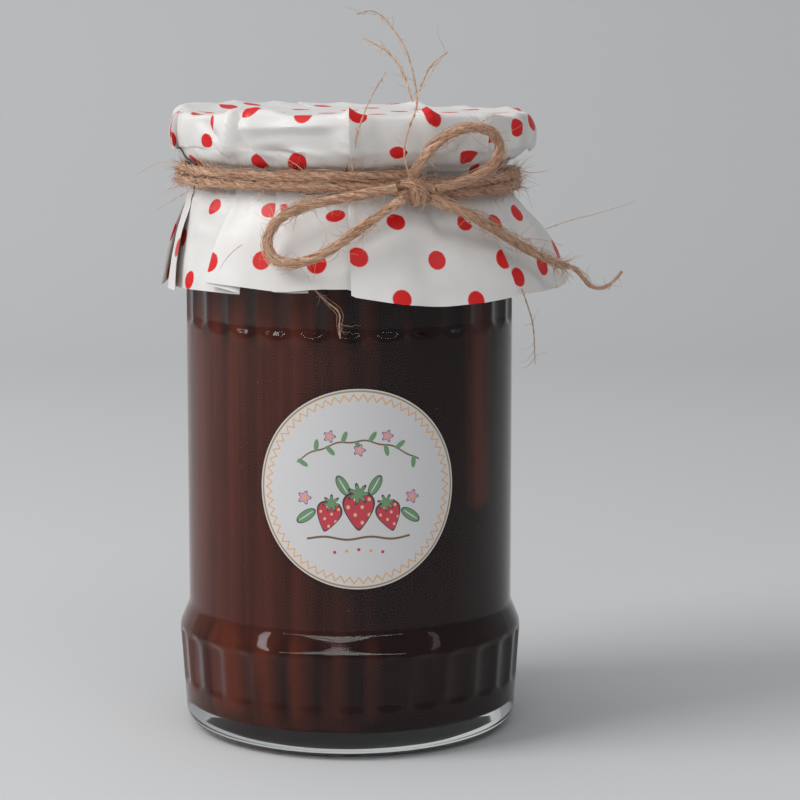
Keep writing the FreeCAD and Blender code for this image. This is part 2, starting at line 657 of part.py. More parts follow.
def make_free_twine():
    """The bow's two loops, its tail with a curled end, and the longest loose strands."""
    twine = value_of("Sizes.twine_diameter")
    strand = value_of("Sizes.strand_diameter")
    tubes = [
        ("bow_loop_right", twine, LOOP_RIGHT),
        ("bow_loop_left", twine, LOOP_LEFT),
        ("twine_tail", twine, TAIL_RIGHT),
        ("tail_curl", value_of("Sizes.curl_diameter"), CURL),
        ("strand_tall", strand, STRAND_TALL),
        ("strand_left", strand, STRAND_LEFT),
        ("strand_right", strand, STRAND_RIGHT),
        ("strand_short", strand, STRAND_SHORT),
        ("strand_low", strand, STRAND_LOW),
        ("strand_hem", strand, STRAND_HEM),
    ]
    return [make_tube(*tube) for tube in tubes]


# ---- The whole jar ----

pieces = [
    make_jar_glass(),
    make_jam(),
    make_lid(),
    make_label(),
    make_cover(),
    make_wraps(),
    make_knot(),
    *make_free_twine(),
]
doc.recompute()

for item in doc.Objects:
    if "Invalid" in item.State or "Error" in item.State:
        raise RuntimeError(f"{item.Label} failed: {item.State}")
for piece in pieces:
    if piece.Shape.isNull() or not piece.Shape.isValid():
        raise RuntimeError(f"{piece.Label} has no valid shape")
    if len(piece.Shape.Solids) != 1:
        raise RuntimeError(f"{piece.Label} has {len(piece.Shape.Solids)} solids")

os.makedirs("parts", exist_ok=True)
for piece in pieces:
    piece.Shape.exportStep(f"parts/{piece.Label}.step")
    box = piece.Shape.BoundBox
    print(
        f"{piece.Label}: volume {piece.Shape.Volume:.0f}, x {box.XMin:.1f} to {box.XMax:.1f},"
        f" y {box.YMin:.1f} to {box.YMax:.1f}, z {box.ZMin:.1f} to {box.ZMax:.1f}"
    )
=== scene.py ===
import logging
import math
import random
from dataclasses import dataclass, field
from enum import Enum

import bpy
from mathutils import Matrix, Vector, noise


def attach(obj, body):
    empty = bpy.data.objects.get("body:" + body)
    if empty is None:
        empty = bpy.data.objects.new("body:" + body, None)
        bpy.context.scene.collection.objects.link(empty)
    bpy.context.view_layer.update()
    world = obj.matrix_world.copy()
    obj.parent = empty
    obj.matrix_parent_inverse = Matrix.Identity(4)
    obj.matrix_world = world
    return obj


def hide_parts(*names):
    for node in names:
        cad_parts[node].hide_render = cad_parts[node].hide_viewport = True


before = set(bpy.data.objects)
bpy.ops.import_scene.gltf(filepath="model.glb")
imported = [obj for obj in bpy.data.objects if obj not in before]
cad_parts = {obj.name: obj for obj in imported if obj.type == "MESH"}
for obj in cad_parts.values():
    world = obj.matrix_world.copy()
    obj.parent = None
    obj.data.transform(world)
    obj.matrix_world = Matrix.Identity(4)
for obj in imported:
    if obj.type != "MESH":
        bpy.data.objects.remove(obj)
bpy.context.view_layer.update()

# A jar of strawberry jam: a ribbed glass preserving jar, its screw lid under a pleated cover of
# coated paper, jute twine tied in a bow, and a round label.
# Sizes in the classes are millimetres, and angles are degrees to the right of the front, which
# faces -Y. Meshes are in metres, in the frame of the CAD parts.

MM = 0.001
LOG = logging.getLogger("jam_jar")


class Slot(Enum):
    """Names of the record's material slots; nothing here uses them."""

    GLASS = "glass"
    JAM = "jam"
    COVER = "cover_paper"
    LABEL = "label_paper"
    TWINE = "twine"


# ---- Small tools for shapes ----

def smooth_step(value: float, low: float, high: float) -> float:
    """A soft ramp from 0 at low to 1 at high."""
    share = min(1.0, max(0.0, (value - low) / (high - low)))
    return share * share * (3 - 2 * share)


def soft_min(a: float, b: float, round_off: float) -> float:
    """The smaller of two numbers, rounded off where they are about equal."""
    near = max(round_off - abs(a - b), 0.0) / round_off
    return min(a, b) - near * near * round_off / 4


def around(degrees: float, radius: float, height: float) -> Vector:
    """The point in metres at that angle from the front, that far from the axis and that high."""
    turn = math.radians(degrees)
    return Vector((radius * math.sin(turn), -radius * math.cos(turn), height)) * MM


def between(entries: list[tuple[float, float]], place: float) -> float:
    """The value at a place, straight between the nearest of a list of (place, value) entries."""
    if place <= entries[0][0]:
        return entries[0][1]
    for (low, start), (high, end) in zip(entries, entries[1:]):
        if place <= high:
            return start + (end - start) * (place - low) / (high - low)
    return entries[-1][1]


def all_round(entries: list[tuple[float, float]], degrees: float) -> float:
    """The value at an angle, between the nearest entries of a list that goes all the way round."""
    first, last = entries[0], entries[-1]
    ring = [(last[0] - 360, last[1]), *entries, (first[0] + 360, first[1])]
    return between(ring, (degrees + 180) % 360 - 180)


def rounded_outline(corners: list[tuple[float, float, float]]) -> list[tuple[float, float]]:
    """Rounds the corners of an outline.

    Args:
        corners: each corner's distance from the axis, height and radius of rounding.

    Returns:
        The outline's points as (distance, height).
    """
    steps = 6
    points = [corners[0][:2]]
    for before, corner, after in zip(corners, corners[1:], corners[2:]):
        at = Vector(corner[:2])
        radius = corner[2]
        if radius <= 0:
            points.append(tuple(at))
            continue
        back = (Vector(before[:2]) - at).normalized()
        on = (Vector(after[:2]) - at).normalized()
        half = back.angle(on) / 2
        start, end = at + back * radius / math.tan(half), at + on * radius / math.tan(half)
        centre = at + (back + on).normalized() * radius / math.sin(half)
        first, last = start - centre, end - centre
        turn = first.angle_signed(last)
        for i in range(steps + 1):
            points.append(tuple(centre + Matrix.Rotation(-turn * i / steps, 2) @ first))
    points.append(corners[-1][:2])
    return points


def filled_in(outline: list[tuple[float, float]], longest: float) -> list[tuple[float, float]]:
    """The same outline with no run longer than that, so that its rows lie close enough."""
    points = [outline[0]]
    for start, end in zip(outline, outline[1:]):
        count = max(1, math.ceil(math.dist(start, end) / longest))
        for i in range(1, count + 1):
            points.append(tuple(a + (b - a) * i / count for a, b in zip(start, end)))
    return points


# ---- Small tools for meshes ----

def let_go() -> None:
    """Leaves edit mode and deselects every object."""
    if bpy.context.object and bpy.context.object.mode != "OBJECT":
        bpy.ops.object.mode_set(mode="OBJECT")
    bpy.ops.object.select_all(action="DESELECT")


def named(name: str) -> bpy.types.Object:
    """Names the object that was just added, and its mesh."""
    obj = bpy.context.object
    obj.name = name
    obj.data.name = name
    return obj


def take_up(obj: bpy.types.Object) -> None:
    """Makes that object the one that operators work on."""
    let_go()
    obj.select_set(True)
    bpy.context.view_layer.objects.active = obj


def modified(obj: bpy.types.Object, kind: str, **settings: object) -> None:
    """Adds a modifier of that kind with those settings, and applies it."""
    take_up(obj)
    modifier = obj.modifiers.new(kind.title(), kind)
    for key, value in settings.items():
        setattr(modifier, key, value)
    bpy.ops.object.modifier_apply(modifier=modifier.name)


def smoothed(obj: bpy.types.Object, degrees: float = 40.0) -> None:
    """Shades a mesh smooth, apart from edges sharper than that angle."""
    take_up(obj)
    bpy.ops.object.shade_smooth_by_angle(angle=math.radians(degrees))


def turned_shell(
    name: str, outline: list[tuple[float, float]], columns: int
) -> bpy.types.Object:
    """Turns an outline round the Z axis.

    Args:
        name: the new object's name.
        outline: points as (distance from the axis, height); its two ends lie on the axis.
        columns: how many columns of faces it has.

    Returns:
        The closed mesh.
    """
    let_go()
    across, height = outline[0]
    bpy.ops.mesh.primitive_plane_add(
        size=MM, location=(across * MM, 0, height * MM), enter_editmode=True
    )
    obj = named(name)
    bpy.ops.mesh.merge(type="CENTER")
    for start, end in zip(outline, outline[1:]):
        step = ((end[0] - start[0]) * MM, 0, (end[1] - start[1]) * MM)
        bpy.ops.mesh.extrude_region_move(TRANSFORM_OT_translate={"value": step})
    bpy.ops.mesh.select_all(action="SELECT")
    bpy.ops.mesh.spin(steps=columns, angle=math.tau, center=(0, 0, 0), axis=(0, 0, 1))
    bpy.ops.mesh.select_all(action="SELECT")
    bpy.ops.mesh.remove_doubles(threshold=0.001 * MM)
    bpy.ops.mesh.normals_make_consistent(inside=False)
    let_go()
    take_up(obj)
    bpy.ops.object.transform_apply(location=True, rotation=True, scale=True)
    return obj


def mesh_piece(
    name: str,
    points: list[Vector],
    faces: list[tuple[int, ...]],
    flat: list[tuple[float, float]],
) -> bpy.types.Object:
    """Makes a mesh object from points and faces.

    Args:
        name: the new object's name.
        points: the vertices, in metres.
        faces: each face's vertices, anticlockwise from outside.
        flat: the place of each face's corners on the UV map, face after face.

    Returns:
        The object, which stands at the origin.
    """
    mesh = bpy.data.meshes.new(name)
    mesh.from_pydata(points, [], faces)
    layer = mesh.uv_layers.new(name="UVMap")
    for place, corner in zip(flat, layer.data):
        corner.uv = place
    obj = bpy.data.objects.new(name, mesh)
    bpy.context.collection.objects.link(obj)
    return obj


def settled(
    obj: bpy.types.Object,
    material: bpy.types.Material,
    nodes: tuple[str, ...] = (),
) -> bpy.types.Object:
    """Gives a finished piece its material and body, and hides the CAD nodes that it stands for.

    Args:
        obj: the piece.
        material: its finish, for every slot that has none.
        nodes: the CAD nodes that the piece replaces.

    Returns:
        The piece.
    """
    if not obj.data.materials:
        obj.data.materials.append(material)
    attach(obj, "root")
    if nodes:
        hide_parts(*nodes)
    LOG.info("%s: %d faces", obj.name, len(obj.data.polygons))
    return obj


# ---- Materials ----

class Ink:
    """A number that changes over a surface: a node's output that takes part in sums."""

    def __init__(self, tree: bpy.types.NodeTree, socket: bpy.types.NodeSocket) -> None:
        """Wraps one output of a node."""
        self.tree = tree
        self.socket = socket

    def run(self, operation: str, *others: "Ink | float", clamp: bool = False) -> "Ink":
        """The result of a Math node on this number and the others."""
        node = self.tree.nodes.new("ShaderNodeMath")
        node.operation = operation
        node.use_clamp = clamp
        for socket, value in zip(node.inputs, (self, *others)):
            if isinstance(value, Ink):
                self.tree.links.new(value.socket, socket)
            else:
                socket.default_value = value
        return Ink(self.tree, node.outputs[0])

    def __add__(self, other: "Ink | float") -> "Ink":
        """Adds."""
        return self.run("ADD", other)

    def __sub__(self, other: "Ink | float") -> "Ink":
        """Subtracts."""
        return self.run("SUBTRACT", other)

    def __mul__(self, other: "Ink | float") -> "Ink":
        """Multiplies."""
        return self.run("MULTIPLY", other)

    def __truediv__(self, other: "Ink | float") -> "Ink":
        """Divides."""
        return self.run("DIVIDE", other)

    def size(self) -> "Ink":
        """The number without its sign."""
        return self.run("ABSOLUTE")

    def below(self, limit: "Ink | float", soft: float) -> "Ink":
        """1 where the number is under the limit and 0 where it is over, with a soft edge."""
        gap = self.run("SUBTRACT", limit)
        return (gap * (-1.0 / soft) + 0.5).run("ADD", 0.0, clamp=True)


@dataclass
class Finish:
    """A material in the making: its node tree, its Principled shader and where patterns start."""

    name: str
    material: bpy.types.Material = field(init=False)
    tree: bpy.types.NodeTree = field(init=False)
    shader: bpy.types.Node = field(init=False)
    place: bpy.types.Node = field(init=False)

    def __post_init__(self) -> None:
        """Starts the material with nothing but its shader."""
        self.material = bpy.data.materials.new(self.name)
        self.material.use_nodes = True
        self.tree = self.material.node_tree
        self.shader = self.tree.nodes["Principled BSDF"]
        self.place = self.tree.nodes.new("ShaderNodeTexCoord")

    def set(self, **values: float | tuple) -> None:
        """Sets the shader's own sockets; an underscore in a name stands for a space."""
        for key, value in values.items():
            self.shader.inputs[key.replace("_", " ")].default_value = value

    def coordinate(self, flat: bool = False) -> bpy.types.NodeSocket:
        """Object coordinates, or the piece's own UV map."""
        return self.place.outputs["UV" if flat else "Object"]

    def link(self, start: "Ink | bpy.types.NodeSocket", end: bpy.types.NodeSocket) -> None:
        """Joins two sockets."""
        self.tree.links.new(start.socket if isinstance(start, Ink) else start, end)

    def mapped(
        self,
        source: bpy.types.NodeSocket,
        scale: tuple[float, float, float] = (1, 1, 1),
        turn: float = 0.0,
        shift: tuple[float, float, float] = (0, 0, 0),
    ) -> bpy.types.NodeSocket:
        """The coordinate after a Mapping node that scales, turns by degrees and shifts it."""
        node = self.tree.nodes.new("ShaderNodeMapping")
        node.inputs["Scale"].default_value = scale
        node.inputs["Rotation"].default_value = (0, 0, math.radians(turn))
        node.inputs["Location"].default_value = shift
        self.link(source, node.inputs["Vector"])
        return node.outputs[0]

    def cloud(
        self, source: bpy.types.NodeSocket, scale: float, detail: float = 3.0, rough: float = 0.5
    ) -> Ink:
        """A soft random pattern, from 0 to 1."""
        node = self.tree.nodes.new("ShaderNodeTexNoise")
        node.inputs["Scale"].default_value = scale
        node.inputs["Detail"].default_value = detail
        node.inputs["Roughness"].default_value = rough
        self.link(source, node.inputs["Vector"])
        return Ink(self.tree, node.outputs["Fac"])

    def cells(self, source: bpy.types.NodeSocket, scale: float) -> Ink:
        """The distance to the nearest of a field of random points."""
        node = self.tree.nodes.new("ShaderNodeTexVoronoi")
        node.inputs["Scale"].default_value = scale
        self.link(source, node.inputs["Vector"])
        return Ink(self.tree, node.outputs["Distance"])

    def parts(self, source: bpy.types.NodeSocket) -> tuple[Ink, Ink, Ink]:
        """A vector's three numbers."""
        node = self.tree.nodes.new("ShaderNodeSeparateXYZ")
        self.link(source, node.inputs[0])
        return tuple(Ink(self.tree, output) for output in node.outputs)

    def mixed(
        self,
        share: Ink,
        low: "tuple | bpy.types.NodeSocket",
        high: "tuple | bpy.types.NodeSocket",
    ) -> bpy.types.NodeSocket:
        """A colour between two, by a share from 0 to 1."""
        node = self.tree.nodes.new("ShaderNodeMix")
        node.data_type = "RGBA"
        self.link(share, node.inputs["Factor"])
        for socket, value in ((node.inputs[6], low), (node.inputs[7], high)):
            if isinstance(value, bpy.types.NodeSocket):
                self.link(value, socket)
            else:
                socket.default_value = (*value, 1)
        return node.outputs[2]

    def bumped(self, height: Ink, strength: float, distance: float) -> None:
        """Feeds a height into the shader's Normal; the distance is in millimetres."""
        node = self.tree.nodes.new("ShaderNodeBump")
        node.inputs["Strength"].default_value = strength
        node.inputs["Distance"].default_value = distance * MM
        self.link(height, node.inputs["Height"])
        self.link(node.outputs[0], self.shader.inputs["Normal"])

    def grain(self, source: bpy.types.NodeSocket, fine: float, broad: float) -> tuple[Ink, Ink]:
        """The shared grain group, placed with its own scales.

        Args:
            source: the coordinate it follows.
            fine: the scale of its fine grain.
            broad: the scale of its broad clouds.

        Returns:
            The grain's height and a mask of slow variation, both from 0 to 1.
        """
        node = self.tree.nodes.new("ShaderNodeGroup")
        node.node_tree = grain_group()
        node.inputs["Fine"].default_value = fine
        node.inputs["Broad"].default_value = broad
        self.link(source, node.inputs["Vector"])
        return Ink(self.tree, node.outputs["Height"]), Ink(self.tree, node.outputs["Clouds"])


def grain_group() -> bpy.types.NodeTree:
    """The node group for grain, which is built once: fine grain on broad clouds.

    Returns:
        The group, with inputs Vector, Fine and Broad and outputs Height and Clouds.
    """
    name = "surface_grain"
    if name in bpy.data.node_groups:
        return bpy.data.node_groups[name]
    group = bpy.data.node_groups.new(name, "ShaderNodeTree")
    made = group.interface.new_socket
    made("Vector", in_out="INPUT", socket_type="NodeSocketVector")
    for scale in ("Fine", "Broad"):
        made(scale, in_out="INPUT", socket_type="NodeSocketFloat")
    for result in ("Height", "Clouds"):
        made(result, in_out="OUTPUT", socket_type="NodeSocketFloat")
    start = group.nodes.new("NodeGroupInput")
    end = group.nodes.new("NodeGroupOutput")
    noises = []
    for scale, detail in (("Fine", 2.0), ("Broad", 4.0)):
        node = group.nodes.new("ShaderNodeTexNoise")
        node.inputs["Detail"].default_value = detail
        group.links.new(start.outputs["Vector"], node.inputs["Vector"])
        group.links.new(start.outputs[scale], node.inputs["Scale"])
        noises.append(Ink(group, node.outputs["Fac"]))
    fine, broad = noises
    group.links.new((fine * 0.35 + broad * 0.65).socket, end.inputs["Height"])
    group.links.new(broad.socket, end.inputs["Clouds"])
    return group


@dataclass(frozen=True)
class ClearGlass:
    """Pressed glass: clear, with slow waves in its surface."""

    tint: tuple = (0.97, 0.99, 0.98)
    wave: float = 45.0

    def material(self) -> bpy.types.Material:
        """Builds the glass."""
        made = Finish("clear_glass")
        made.set(Base_Color=(*self.tint, 1), Transmission_Weight=1.0, IOR=1.35, Roughness=0.03)
        source = made.mapped(made.coordinate(), scale=(1, 1, 0.35))
        made.bumped(made.cloud(source, self.wave, 1.0), 0.2, 0.5)
        return made.material


@dataclass(frozen=True)
class DarkJam:
    """Strawberry jam against the glass: dark maroon, with upright streaks and fine specks.

    It carries painted light and shade: a paler brown where X is under left_at, painted light
    from the left, and deepest where X is over right_at, painted shade. The upright streaks are
    partly the jam's own uneven colour and partly painted light; they are strongest behind the
    flutes, as painted highlights of the flutes. Each lit streak is a painted streak of light on
    the front: its X, half its width, and its lower and upper end. All are in metres.
    """

    deep: tuple = (0.014, 0.0012, 0.0006)
    # The paler brown that the jam's own uneven colour and its painted light mix towards.
    thin: tuple = (0.145, 0.026, 0.010)
    speck: tuple = (0.32, 0.17, 0.11)
    # Painted light is full where X is under left_at, and painted shade where X is over right_at.
    left_at: float = -0.030
    right_at: float = 0.012
    flutes: int = 28
    low_flutes: tuple[float, float] = (0.0108, 0.029)
    high_flutes: tuple[float, float] = (0.1054, 0.134)
    # Painted streaks of light on the front: X, half width, lower and upper end.
    lit_streaks: tuple = ((0.0318, 0.0022, 0.062, 0.142), (-0.0094, 0.0006, 0.108, 0.130))

    def material(self) -> bpy.types.Material:
        """Builds the jam: painted light on its left and in two streaks, painted shade on its right.
        """
        made = Finish("dark_jam")
        made.set(Roughness=0.45, Specular_IOR_Level=0.05)
        source = made.coordinate()
        broad = made.cloud(source, 60.0, 3.0)
        streaks = made.cloud(made.mapped(source, scale=(1, 1, 0.03)), 170.0, 3.0, 0.55)
        x, y, height = made.parts(source)
        # Painted light and shade: 1 on the left, as if lit from there, 0 on the right, as if in
        # shade.
        lit_from_left = x.below((self.left_at + self.right_at) / 2, self.right_at - self.left_at)
        # Painted flute highlights: an upright stripe for each flute, strongest in the fluted bands.
        flute_highlights = ((x.run("ARCTAN2", y * -1.0) * self.flutes + streaks * 5.0).run("COSINE")) * 0.5
        fluted = self.within(height, self.low_flutes) * 0.5 + self.within(height, self.high_flutes)
        # Streaks: partly the jam's own colour, partly painted light; stronger on the lit left.
        share = (streaks * 2.6 - 1.3) * (lit_from_left * 0.6 + 0.18)
        share = share + flute_highlights * (fluted * 0.9 + 0.06) * (lit_from_left * 0.5 + 0.3) + lit_from_left * 0.85
        share = share + broad * 0.3 - 0.24
        # Painted streaks of light on the front, as of light shining through the glass.
        for middle, half, *ends in self.lit_streaks:
            lit_streak = (x - middle).size().below(half, 0.003) * y.below(0.0, 0.01)
            share = share + lit_streak * self.within(height, ends) * (streaks * 0.9 + 0.3)
        colour = made.mixed(share.run("ADD", 0.0, clamp=True), self.deep, self.thin)
        specks = made.cells(source, 420.0).below(0.06, 0.04)
        kept = made.cloud(source, 160.0, 1.0).run("GREATER_THAN", 0.62)
        colour = made.mixed(specks * kept * 0.6, colour, self.speck)
        made.link(colour, made.shader.inputs["Base Color"])
        return made.material

    def within(self, height: Ink, ends: tuple[float, float]) -> Ink:
        """A mask that is 1 between two heights."""
        middle, half = (ends[0] + ends[1]) / 2, (ends[1] - ends[0]) / 2
        return (height - middle).size().below(half, 0.004)


@dataclass(frozen=True)
class LidPaint:
    """Lacquer on tinplate, gold, with fine scuffs."""

    colour: tuple = (0.62, 0.42, 0.14)
    worn: tuple = (0.48, 0.33, 0.13)

    def material(self) -> bpy.types.Material:
        """Builds the lacquer."""
        made = Finish("lid_paint")
        made.set(Metallic=0.7, Roughness=0.3, Coat_Weight=0.4, Coat_Roughness=0.1)
        height, clouds = made.grain(made.coordinate(), 1500.0, 60.0)
        made.link(made.mixed(clouds, self.colour, self.worn), made.shader.inputs["Base Color"])
        made.bumped(height, 0.1, 0.05)
        return made.material


@dataclass(frozen=True)
class CoverPaper:
    """Coated paper: white, printed with red dots in staggered rows, with a few soft creases."""

    white: tuple = (0.74, 0.725, 0.705)
    shade: tuple = (0.62, 0.595, 0.57)
    red: tuple = (0.62, 0.004, 0.005)
    dot: float = 4.8
    dot_step: float = 14.300
    turn: float = -66.0
    shift: tuple[float, float] = (0.254, 0.543)
    across: float = 200.0

    def base(self, name: str) -> tuple[Finish, bpy.types.NodeSocket]:
        """The paper's own colour, gloss and fine creases, and that colour's socket."""
        made = Finish(name)
        made.set(Roughness=0.45, Specular_IOR_Level=0.3, Coat_Weight=0.12, Coat_Roughness=0.15)
        flat = made.mapped(made.coordinate(flat=True), scale=(self.across,) * 3)
        height, clouds = made.grain(flat, 1.1, 0.09)
        made.bumped(height, 0.5, 0.12)
        share = (clouds * 1.6 - 0.4).run("ADD", 0.0, clamp=True)
        return made, made.mixed(share, self.white, self.shade)

    def printed(self) -> bpy.types.Material:
        """Builds the outside, with its dots."""
        made, colour = self.base("dotted_paper")
        step = self.across / self.dot_step
        cell = made.mapped(
            made.coordinate(flat=True),
            scale=(step, step, 1),
            turn=self.turn,
            shift=(*self.shift, 0),
        )
        x, y, _ = made.parts(cell)
        sides = [(n.run("FRACT") - 0.5) * self.dot_step for n in (x, y)]
        reach = (sides[0] * sides[0] + sides[1] * sides[1]).run("SQRT")
        rough_edge = made.cloud(made.coordinate(flat=True), 420.0, 2.0) * 0.3 - 0.15
        dots = (reach + rough_edge).below(self.dot / 2, 0.25)
        made.link(made.mixed(dots, colour, self.red), made.shader.inputs["Base Color"])
        return made.material

    def plain(self) -> bpy.types.Material:
        """Builds the back, which is not printed."""
        made, colour = self.base("paper_back")
        made.link(colour, made.shader.inputs["Base Color"])
        return made.material


@dataclass(frozen=True)
class Jute:
    """Jute fibre: dull brown strands with pale and dark streaks along them."""

    pale: tuple = (0.78, 0.52, 0.35)
    brown: tuple = (0.44, 0.235, 0.145)
    dark: tuple = (0.14, 0.062, 0.038)

    def material(self) -> bpy.types.Material:
        """Builds the fibre. The UV map runs round the strand and along it, in millimetres."""
        made = Finish("jute")
        made.set(Roughness=0.85, Sheen_Weight=0.25, Sheen_Roughness=0.5, Specular_IOR_Level=0.25)
        flat = made.coordinate(flat=True)
        streaks = made.cloud(made.mapped(flat, scale=(3.2, 0.55, 1)), 1.0, 4.0, 0.6)
        height, clouds = made.grain(made.mapped(flat, scale=(1.0, 0.3, 1)), 6.0, 0.25)
        share = (streaks * 2.4 - 0.7).run("ADD", 0.0, clamp=True)
        colour = made.mixed(share, self.brown, self.pale)
        pits = (streaks.below(0.40, 0.12) + clouds.below(0.36, 0.2) * 0.4) * 0.8
        colour = made.mixed(pits.run("ADD", 0.0, clamp=True), colour, self.dark)
        made.link(colour, made.shader.inputs["Base Color"])
        made.bumped(streaks * 0.7 + height * 0.3, 0.9, 0.35)
        return made.material


@dataclass(frozen=True)
class LabelPrint:
    """The label's print: a gold rim, an orange zigzag, and berries under a leafy garland."""

    paper: tuple = (0.61, 0.605, 0.61)
    gold: tuple = (0.36, 0.235, 0.08)
    orange: tuple = (0.72, 0.37, 0.12)
    brown: tuple = (0.16, 0.085, 0.035)
    red: tuple = (0.50, 0.03, 0.06)
    pink: tuple = (0.62, 0.30, 0.42)
    green: tuple = (0.13, 0.27, 0.13)
    line: tuple = (0.03, 0.025, 0.03)
    across: float = 60.0
    edge: float = 0.12

    def material(self) -> bpy.types.Material:
        """Builds the print on the flat map, whose middle is the label's middle."""
        made = Finish("label_print")
        made.set(Roughness=0.28, Coat_Weight=0.5, Coat_Roughness=0.08)
        flat = made.mapped(
            made.coordinate(flat=True),
            scale=(self.across,) * 3,
            shift=(-self.across / 2, -self.across / 2, 0),
        )
        height, clouds = made.grain(flat, 2.0, 0.06)
        x, y, _ = made.parts(flat)
        colour = made.mixed(clouds * 0.25, self.paper, tuple(c * 0.9 for c in self.paper))
        layers = [*self.border(x, y), *self.garland(x, y), *self.fruit(x, y)]
        for mask, ink in layers:
            colour = made.mixed(mask, colour, ink)
        made.link(colour, made.shader.inputs["Base Color"])
        made.bumped(height, 0.15, 0.05)
        return made.material

    def near(self, value: Ink, half: float) -> Ink:
        """1 within half of a line's width from where the value is 0."""
        return value.size().below(half, self.edge)

    def border(self, x: Ink, y: Ink) -> list[tuple[Ink, tuple]]:
        """The gold rim line and the orange zigzag inside it."""
        reach = (x * x + y * y).run("SQRT")
        turn = y.run("ARCTAN2", x) * (62 / math.tau)
        tooth = (turn.run("FRACT") - 0.5).size() * 2.0
        zigzag = reach - (tooth * 1.6 + 22.3)
        return [
            (self.near(reach - 24.75, 0.22), self.gold),
            (self.near(zigzag, 0.26), self.orange),
        ]

    def garland(self, x: Ink, y: Ink) -> list[tuple[Ink, tuple]]:
        """A thin arched stem with leaves and three blossoms."""
        layers = []
        stem = y - (x * x * -0.022 + 12.2) - (x * 0.9).run("SINE") * 0.25
        inside = x.size().below(15.5, self.edge)
        layers.append((self.near(stem, 0.22) * inside, self.brown))
        for i in range(9):
            along = -14.0 + 3.5 * i
            up = 12.2 - 0.022 * along**2
            side = 1 if i % 2 else -1
            lean = math.radians(62 * side - along * 2.2)
            leaf = self.blob(x - along, y - (up + 1.3 * side), lean, 1.55, 0.62)
            layers.append((leaf.below(1.0, 0.3), self.green))
        for along, side in ((-7.2, 1), (7.2, 1), (0.2, -1)):
            up = 12.2 - 0.022 * along**2 + 2.3 * side
            layers += self.blossom(x - along, y - up, 1.5)
        return layers

    def blob(self, x: Ink, y: Ink, lean: float, long: float, wide: float) -> Ink:
        """Under 1 inside an ellipse that leans by that angle."""
        along = x * (math.cos(lean) / long) + y * (math.sin(lean) / long)
        aside = x * (-math.sin(lean) / wide) + y * (math.cos(lean) / wide)
        return along * along + aside * aside

    def blossom(self, x: Ink, y: Ink, size: float) -> list[tuple[Ink, tuple]]:
        """A flower with five round petals and a yellow middle."""
        reach = (x * x + y * y).run("SQRT")
        petals = (y.run("ARCTAN2", x) * 5.0).run("COSINE") * 0.22 + 0.85
        edge = reach / petals
        return [
            (edge.below(size, self.edge), self.line),
            (edge.below(size - 0.22, self.edge), self.pink),
            (reach.below(size * 0.32, self.edge), self.orange),
        ]

    def berry(self, x: Ink, y: Ink, lean: float, size: float) -> list[tuple[Ink, tuple]]:
        """A strawberry: pointed below, with pale seeds, a dark outline and a green crown."""
        turn = math.radians(lean)
        across = (x * math.cos(turn) + y * math.sin(turn)) / size
        up = (y * math.cos(turn) - x * math.sin(turn)) / size
        width = up * 0.42 + 0.72
        body = (across * across / (width * width) + up * up).run("SQRT")
        seeds = (across * 9.0).run("SINE") * (up * 8.0).run("SINE")
        crown_up = up - 0.86
        reach = (across * across + crown_up * crown_up).run("SQRT")
        points = (crown_up.run("ARCTAN2", across) * 7.0).run("COSINE") * 0.16 + 0.42
        crown = reach / points
        soft = self.edge / size
        inside = body.below(0.9, soft)
        return [
            (body.below(1.0, soft), self.line),
            (inside, self.red),
            (seeds.run("GREATER_THAN", 0.72) * inside, (0.75, 0.45, 0.2)),
            (crown.below(1.0, soft * 2), self.line),
            (crown.below(0.82, soft * 2), self.green),
        ]

    def fruit(self, x: Ink, y: Ink) -> list[tuple[Ink, tuple]]:
        """Three berries on a brown ground line, with leaves and small blossoms."""
        layers = []
        ground = y + 12.3 - (x * 0.55).run("SINE") * 0.35
        layers.append((self.near(ground, 0.28) * x.size().below(13.0, self.edge), self.brown))
        leaves = ((-13.2, -6.8, 35), (13.2, -6.8, 145), (-3.9, 1.0, 120), (4.1, 1.0, 60))
        for along, up, lean in leaves:
            leaf = self.blob(x - along, y - up, math.radians(lean), 2.9, 1.35)
            vein = self.blob(x - along, y - up, math.radians(lean), 2.3, 0.16)
            layers += [
                (leaf.below(1.0, 0.12), self.line),
                (leaf.below(0.78, 0.12), self.green),
                (vein.below(1.0, 0.4), self.paper),
            ]
        berries = ((-7.6, -6.8, -14, 4.0), (7.7, -6.8, 14, 4.0), (0.0, -5.4, 0, 5.0))
        for along, up, lean, size in berries:
            layers += self.berry(x - along, y - up, lean, size)
        for along, up in ((-13.6, -2.2), (13.6, -2.2)):
            layers += self.blossom(x - along, y - up, 1.7)
        for i in range(5):
            spot = self.blob(x - (i - 2) * 3.0, y + 15.2 + abs(i - 2) * 0.35, 0.0, 0.42, 0.42)
            layers.append((spot.below(1.0, 0.4), self.orange if i % 2 else self.red))
        return layers


# ---- Studio ----

